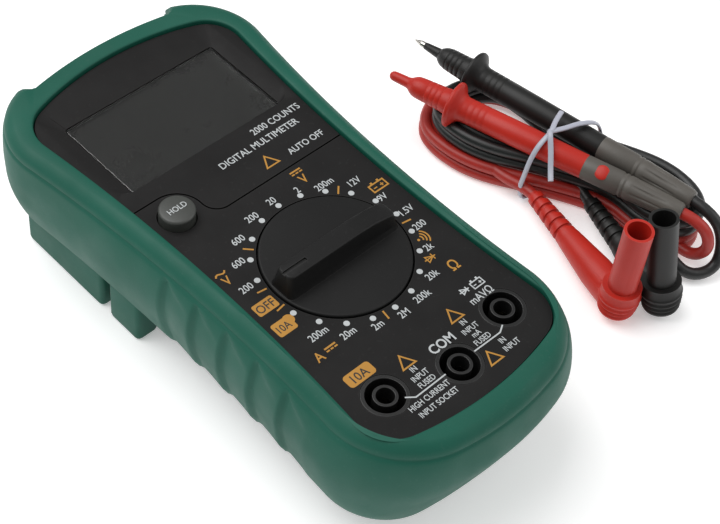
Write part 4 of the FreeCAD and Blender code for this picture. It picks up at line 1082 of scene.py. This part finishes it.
# ---- test leads ---------------------------------------------------------------------------------
@dataclass
class Lead:
    """One test lead: probe, cord tied in the hank, and shrouded plug."""

    colour: str
    tip: Point
    end: Point
    route: Sequence[Point]
    crossing: Sequence[Point]
    landing: Sequence[Point]
    slots: Sequence[tuple[float, float]]
    plastic: Finish
    jacket: Finish
    cord_radius: float = 1.6
    length: float = 0.60
    sleeve: float = 28.0
    outline: Sequence[tuple[float, float]] = (
        (70.5, 25.0), (67.5, 15.0), (70.0, 2.0), (79.5, -13.0), (88.5, -28.0), (88.3, -41.0), (93.5, -49.3),
        (100.0, -50.3), (105.8, -44.5), (107.3, -33.0), (103.8, -20.0), (101.4, -10.0), (104.5, 3.0),
        (104.0, 17.0), (96.0, 27.0), (82.0, 30.5))
    first: int = 12
    last: int = 2
    tuck: float = 0.0
    tucked: Sequence[float] = (0.35, 0.1, 0, 0, 0, 0, 0, 0, 0, 0, 0, 0.5, 1.0, 1.0, 1.0, 0.7)
    ease: float = 1.8
    eased: Sequence[float] = (0, 0, 0, 0, 0.3, 0.8, 1.0, 1.0, 1.0, 0.8, 0.3, 0, 0, 0, 0, 0)

    def hank(self) -> list[Vector]:
        """Work out the cord's points round the tied hank, lap by lap.

        Returns:
            The points of all laps.
        """
        count = len(self.outline)
        points = []
        total = (len(self.slots) - 1) * count + (self.last - self.first) % count + 1
        for step in range(total):
            index = (self.first + step) % count
            here, before, after = (Vector(self.outline[(index + k) % count]) for k in (0, -1, 1))
            run = (after - before).normalized()
            lap = step / count
            slot = min(int(lap), len(self.slots) - 1)
            inset, z = self.slots[slot]
            if slot > 0 and lap - slot < 3 / count:
                share = smooth_step((lap - slot) * count / 3)
                inset = self.slots[slot - 1][0] * (1 - share) + inset * share
                z = self.slots[slot - 1][1] * (1 - share) + z * share
            loose = 0.5 * math.sin(1.9 * step + 2.0 * slot)
            depth = (inset + 0.5 * abs(loose) * (1 - self.eased[index])
                     + self.tuck * self.tucked[index] - self.ease * self.eased[index])
            inward = Vector((-run.y, run.x)) * depth
            points.append(Vector((here.x + inward.x, here.y + inward.y, z + 0.25 * abs(loose))))
        return points

    def build_cord(self) -> bpy.types.Object:
        """Make the cord as one smooth curve from the probe to the plug.

        Args:
        Returns:
            The cord.
        """
        points = [Vector(p) for p in (*self.route, *self.crossing)] + self.hank()
        points += [Vector(p) for p in self.landing]
        curve = bpy.data.curves.new(self.colour + "_cord", "CURVE")
        curve.dimensions = "3D"
        curve.resolution_u = 6
        curve.bevel_depth = self.cord_radius * MM
        curve.bevel_resolution = 5
        curve.use_fill_caps = True
        spline = curve.splines.new("NURBS")
        spline.points.add(len(points) - 1)
        for knot, point in zip(spline.points, points):
            knot.co = (*(point * MM), 1.0)
        spline.order_u = 3
        spline.use_endpoint_u = True
        cord = bpy.data.objects.new(self.colour + "_cord", curve)
        bpy.context.scene.collection.objects.link(cord)
        curve.materials.append(self.jacket.material())
        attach(cord, Body.LEADS.value)
        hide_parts(self.colour + "_cord_hank", self.colour + "_cord_end")
        LOG.info("cord %s: %d points", self.colour, len(points))
        return cord

    def build_probe(self) -> list[bpy.types.Object]:
        """Make the probe: moulded handle with its guard and ribs, and the soft rear sleeve.

        Returns:
            Its pieces.
        """
        start = Vector(self.tip)
        along = Vector(self.end) - start
        joint = along.length - self.sleeve
        if self.colour == "red":
            nose = [(0.0, 0.0), (0.12, 0.6), (0.5, 1.05), (1.1, 1.3), (2.0, 1.38), (5.6, 1.5)]
        else:
            nose = [(3.0, 0.0), (3.1, 0.75), (3.6, 1.0), (7.6, 1.4), (8.4, 1.5)]
        step = 0.0 if self.colour == "red" else 2.2
        handle = nose + [(6.3 + step, 1.75), (7.1 + step, 2.35), (7.9 + step, 2.75), (8.9 + step, 2.95)]
        for i in range(4):
            base = 11.6 + i * 1.5
            handle += [(base, 3.1 + 0.08 * i), (base + 0.2, 2.98 + 0.08 * i), (base + 0.4, 3.1 + 0.08 * i)]
        handle += [(17.6, 3.5), (18.6, 3.6), (18.9, 4.3), (19.15, 5.7), (19.4, 6.25), (19.8, 6.4),
                   (20.3, 6.3), (20.8, 5.7), (21.6, 4.3), (22.4, 3.7), (23.2, 3.5)]
        for i in range(4):
            base = 24.4 + i * 1.7
            handle += [(base, 3.5), (base + 0.25, 3.37), (base + 0.5, 3.5)]
        handle += [(40.0, 3.48), (joint - 0.3, 3.3), (joint, 3.2), (joint, 0.0)]
        body = turned(handle, 48)
        place_along(body, start, along)
        pieces = [finish_piece(self.colour + "_probe_handle_look", body, self.plastic, Body.LEADS,
                               (self.colour + "_probe_handle",), crease=60.0)]
        length = along.length
        rear = [(joint, 0.0), (joint + 0.02, 3.2), (joint + 0.4, 3.32), (joint + 10.2, 3.35),
                (joint + 10.5, 3.1), (joint + 10.9, 3.1), (joint + 11.1, 3.32), (joint + 11.6, 3.32),
                (joint + 11.8, 3.1), (joint + 12.1, 3.1), (joint + 12.4, 3.28), (joint + 13.6, 3.25),
                (joint + 14.4, 3.2), (joint + 18.0, 3.1), (length - 5.0, 2.9), (length - 4.4, 2.85),
                (length - 0.8, 2.6), (length - 0.1, 2.3), (length, 1.7), (length, 0.0)]
        sleeve = turned(rear, 72)
        for vert in sleeve.verts:
            if joint + 14.0 < vert.co.z < length - 4.7:
                groove = max(0.0, math.cos(9 * math.atan2(vert.co.y, vert.co.x))) ** 4
                vert.co.x *= 1 - 0.09 * groove
                vert.co.y *= 1 - 0.09 * groove
        place_along(sleeve, start, along)
        pieces.append(finish_piece(self.colour + "_probe_sleeve_look", sleeve, GREY_SLEEVE, Body.LEADS,
                                   (self.colour + "_probe_sleeve",), crease=60.0))
        if self.colour == "red":
            run = along.normalized()
            sky = Vector((-0.46, -0.30, 0.84))
            outward = (sky - run * sky.dot(run)).normalized()
            dot = bmesh.new()
            bmesh.ops.create_uvsphere(dot, u_segments=28, v_segments=14, radius=1.0)
            bmesh.ops.scale(dot, vec=(2.0, 2.0, 0.55), verts=dot.verts)
            place_along(dot, start + run * (joint + 5.3) + outward * 3.0, outward)
            pieces.append(finish_piece("red_sleeve_mark", dot, RED_PLASTIC, Body.LEADS))
        return pieces

    def build(self, looks: dict[str, bpy.types.Object]) -> list[bpy.types.Object]:
        """Make the whole lead.

        Args:
            looks: the refined copies by the name of the CAD node they stand for.
        Returns:
            The lead's pieces.
        """
        pieces = self.build_probe()
        carried = [looks[self.colour + part] for part in ("_plug", "_plug_pin", "_probe_needle")]
        if self.colour == "red":
            carried.append(TwistTie().build())
        pieces.append(self.build_cord())
        return pieces


@dataclass
class TwistTie:
    """The plastic-coated wire tie twisted round the bundle."""

    width: float = 1.5
    thickness: float = 0.9
    loop: Sequence[Point] = (
        (82.0, -10.6, 21.2), (78.6, -10.6, 19.2), (76.3, -10.6, 15.5), (75.3, -10.4, 10.0),
        (74.9, -10.2, 5.0), (76.4, -10.6, 0.9), (82.0, -11.4, 0.5), (94.0, -13.2, 0.5),
        (99.6, -14.2, 0.9), (101.6, -14.6, 4.0), (101.3, -14.4, 10.0), (99.6, -14.4, 15.0),
        (96.4, -14.4, 19.2), (91.5, -13.4, 21.4), (86.6, -11.7, 21.4), (82.4, -10.2, 21.8))
    upper_tail: Sequence[Point] = ((82.0, -10.6, 21.2), (83.6, -10.2, 21.9), (86.2, -9.0, 22.2),
                                   (89.6, -7.9, 22.6))
    lower_tail: Sequence[Point] = ((82.6, -10.2, 21.9), (81.4, -11.6, 21.6), (79.6, -14.0, 19.0),
                                   (77.4, -16.6, 16.0), (75.6, -18.6, 14.6))

    def strand(self, points: Sequence[Point]) -> bmesh.types.BMesh:
        """Sweep the tie's flat oval section along a smooth line.

        Args:
            points: the places that the line passes through.
        Returns:
            The closed strand.
        """
        knots = [Vector(p) for p in points]
        line = []
        for i in range(len(knots) - 1):
            before, after = knots[max(i - 1, 0)], knots[min(i + 2, len(knots) - 1)]
            for k in range(8):
                t = k / 8
                start, end = knots[i], knots[i + 1]
                line.append(0.5 * ((2 * start) + (end - before) * t
                                   + (2 * before - 5 * start + 4 * end - after) * t * t
                                   + (3 * start - before - 3 * end + after) * t ** 3))
        line.append(knots[-1])
        middle = Vector((88.6, -12.0, 10.0))
        rows = []
        for i, point in enumerate(line):
            run = (line[min(i + 1, len(line) - 1)] - line[max(i - 1, 0)]).normalized()
            out = (point - middle) - run * (point - middle).dot(run)
            out.normalize()
            side = run.cross(out)
            turn = [2 * math.pi * k / 16 for k in range(16)]
            rows.append([point + side * math.cos(a) * self.width / 2 + out * math.sin(a) * self.thickness / 2
                         for a in turn])
        shape = skin(rows)
        bmesh.ops.holes_fill(shape, edges=shape.edges, sides=0)
        bmesh.ops.recalc_face_normals(shape, faces=shape.faces)
        return shape

    def build(self) -> bpy.types.Object:
        """Make the tie's loop and both tails as one piece.

        Returns:
            The tie.
        """
        shape = bmesh.new()
        for points in (self.loop, self.upper_tail, self.lower_tail):
            join_into(shape, self.strand(points))
        return finish_piece("twist_tie_look", shape, TIE_PLASTIC, Body.LEADS, ("twist_tie",), crease=60.0)


def make_leads() -> list[Lead]:
    """Describe both leads; their routes repeat the CAD routes.

    Returns:
        The red lead and the black lead.
    """
    red = Lead("red", (69.4, 35.0, 16.0), (92.7, -48.6, 16.0),
               ((92.7, -48.6, 16.0), (94.4, -54.7, 15.8), (95.0, -58.2, 9.0), (94.3, -54.7, 2.9),
                (94.0, -47.5, 3.0)),
               ((95.0, -33.0, 2.2), (97.3, -16.0, 1.9)),
               ((74.6, -5.0, 5.0), (76.1, -10.0, 5.1), (76.0, -14.0, 5.0)),
               ((4.9, 1.7), (1.7, 1.7), (1.8, 4.9), (4.9, 4.9)), RED_PLASTIC, RED_JACKET, length=0.69)
    black = Lead("black", (84.1, 40.2, 16.0), (98.3, -47.6, 16.0),
                 ((98.3, -47.6, 16.0), (99.0, -54.4, 15.8), (99.3, -59.0, 9.6), (96.0, -61.2, 2.6),
                  (88.6, -58.0, 2.2), (87.6, -50.5, 5.5), (91.0, -42.5, 9.0)),
                 ((94.5, -30.0, 8.0), (97.3, -16.0, 7.8)),
                 ((80.5, -2.0, 10.2), (86.5, -12.0, 8.0), (88.2, -18.5, 5.6), (86.0, -25.0, 5.0)),
                 ((6.6, 7.9), (3.4, 7.9), (3.4, 11.1), (6.6, 11.1)), BLACK_LEAD, BLACK_JACKET,
                 length=0.66, tuck=4.2, ease=3.4)
    return [red, black]


# ---- stage --------------------------------------------------------------------------------------
@dataclass
class Studio:
    """Pale floor, soft lights and the camera."""

    eye: Point = (-190.25, -186.38, 349.14)
    aim: Point = (20.43, -4.92, 12.0)
    roll: float = -7.24
    lens: float = 88.0

    def build(self) -> None:
        """Make the floor, the lights, the world and the camera."""
        floor_shape = bmesh.new()
        bmesh.ops.create_grid(floor_shape, x_segments=1, y_segments=1, size=4.0)
        mesh = bpy.data.meshes.new("floor")
        floor_shape.to_mesh(mesh)
        floor_shape.free()
        floor = bpy.data.objects.new("floor", mesh)
        bpy.context.scene.collection.objects.link(floor)
        paper = bpy.data.materials.new("studio paper")
        paper.use_nodes = True
        shader = paper.node_tree.nodes["Principled BSDF"]
        shader.inputs["Base Color"].default_value = (0.94, 0.94, 0.94, 1)
        shader.inputs["Roughness"].default_value = 0.9
        shader.inputs["Specular IOR Level"].default_value = 0.2
        shader.inputs["Emission Color"].default_value = (1.0, 1.0, 1.0, 1)
        shader.inputs["Emission Strength"].default_value = 0.32
        mesh.materials.append(paper)
        self.light("key", (-0.25, 0.45, 0.9), (0.0, 0.0, 0.0), 1.0, 10.0)
        self.light("fill", (0.7, -0.6, 0.8), (0.0, 0.0, 0.0), 1.0, 4.2)
        world = bpy.data.worlds.new("studio")
        world.use_nodes = True
        world.node_tree.nodes["Background"].inputs["Color"].default_value = (1.0, 1.0, 1.0, 1)
        world.node_tree.nodes["Background"].inputs["Strength"].default_value = 0.36
        bpy.context.scene.world = world
        bpy.context.scene.view_settings.view_transform = "Standard"
        self.camera()

    def light(self, name: str, place: Point, target: Point, size: float, power: float) -> None:
        """Add one square soft light.

        Args:
            name: its name.
            place: where it hangs, in metres.
            target: what it points at, in metres.
            size: the length of its side, in metres.
            power: its power in watts.
        """
        lamp = bpy.data.lights.new(name, "AREA")
        lamp.size = size
        lamp.energy = power
        holder = bpy.data.objects.new(name, lamp)
        bpy.context.scene.collection.objects.link(holder)
        holder.location = place
        holder.rotation_euler = (Vector(target) - Vector(place)).to_track_quat("-Z", "Y").to_euler()

    def camera(self) -> None:
        """Add the camera."""
        lens = bpy.data.cameras.new("camera")
        lens.lens = self.lens
        lens.sensor_width = 36.0
        lens.clip_start = 0.01
        holder = bpy.data.objects.new("camera", lens)
        bpy.context.scene.collection.objects.link(holder)
        place = Vector(self.eye) * MM
        gaze = (Vector(self.aim) * MM - place).normalized()
        right = gaze.cross(Vector((0, 0, 1))).normalized()
        up = right.cross(gaze)
        turn = Matrix.Rotation(math.radians(self.roll), 3, gaze)
        right, up = turn @ right, turn @ up
        holder.matrix_world = Matrix.Translation(place) @ Matrix((right, up, -gaze)).transposed().to_4x4()
        bpy.context.scene.camera = holder


def main() -> None:
    """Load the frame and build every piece."""
    logging.basicConfig(level=logging.INFO, format="%(name)s: %(message)s")
    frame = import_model()
    nodes = frame["nodes"]
    bodies = frame["record"]["behaviour"]["bodies"]
    home = {node: Body(name) for name, members in bodies.items() for node in members}
    Studio().build()
    Holster().build()
    looks: dict[str, bpy.types.Object] = {}
    for node, finish in NODE_FINISH.items():
        looks[node] = node_copy(nodes, node, home[node], finish, SOFT_EDGES.get(node, 0.0))
    for ink in make_prints():
        ink.build()
    for lead in make_leads():
        lead.build(looks)


if __name__ == "__main__":
    main()
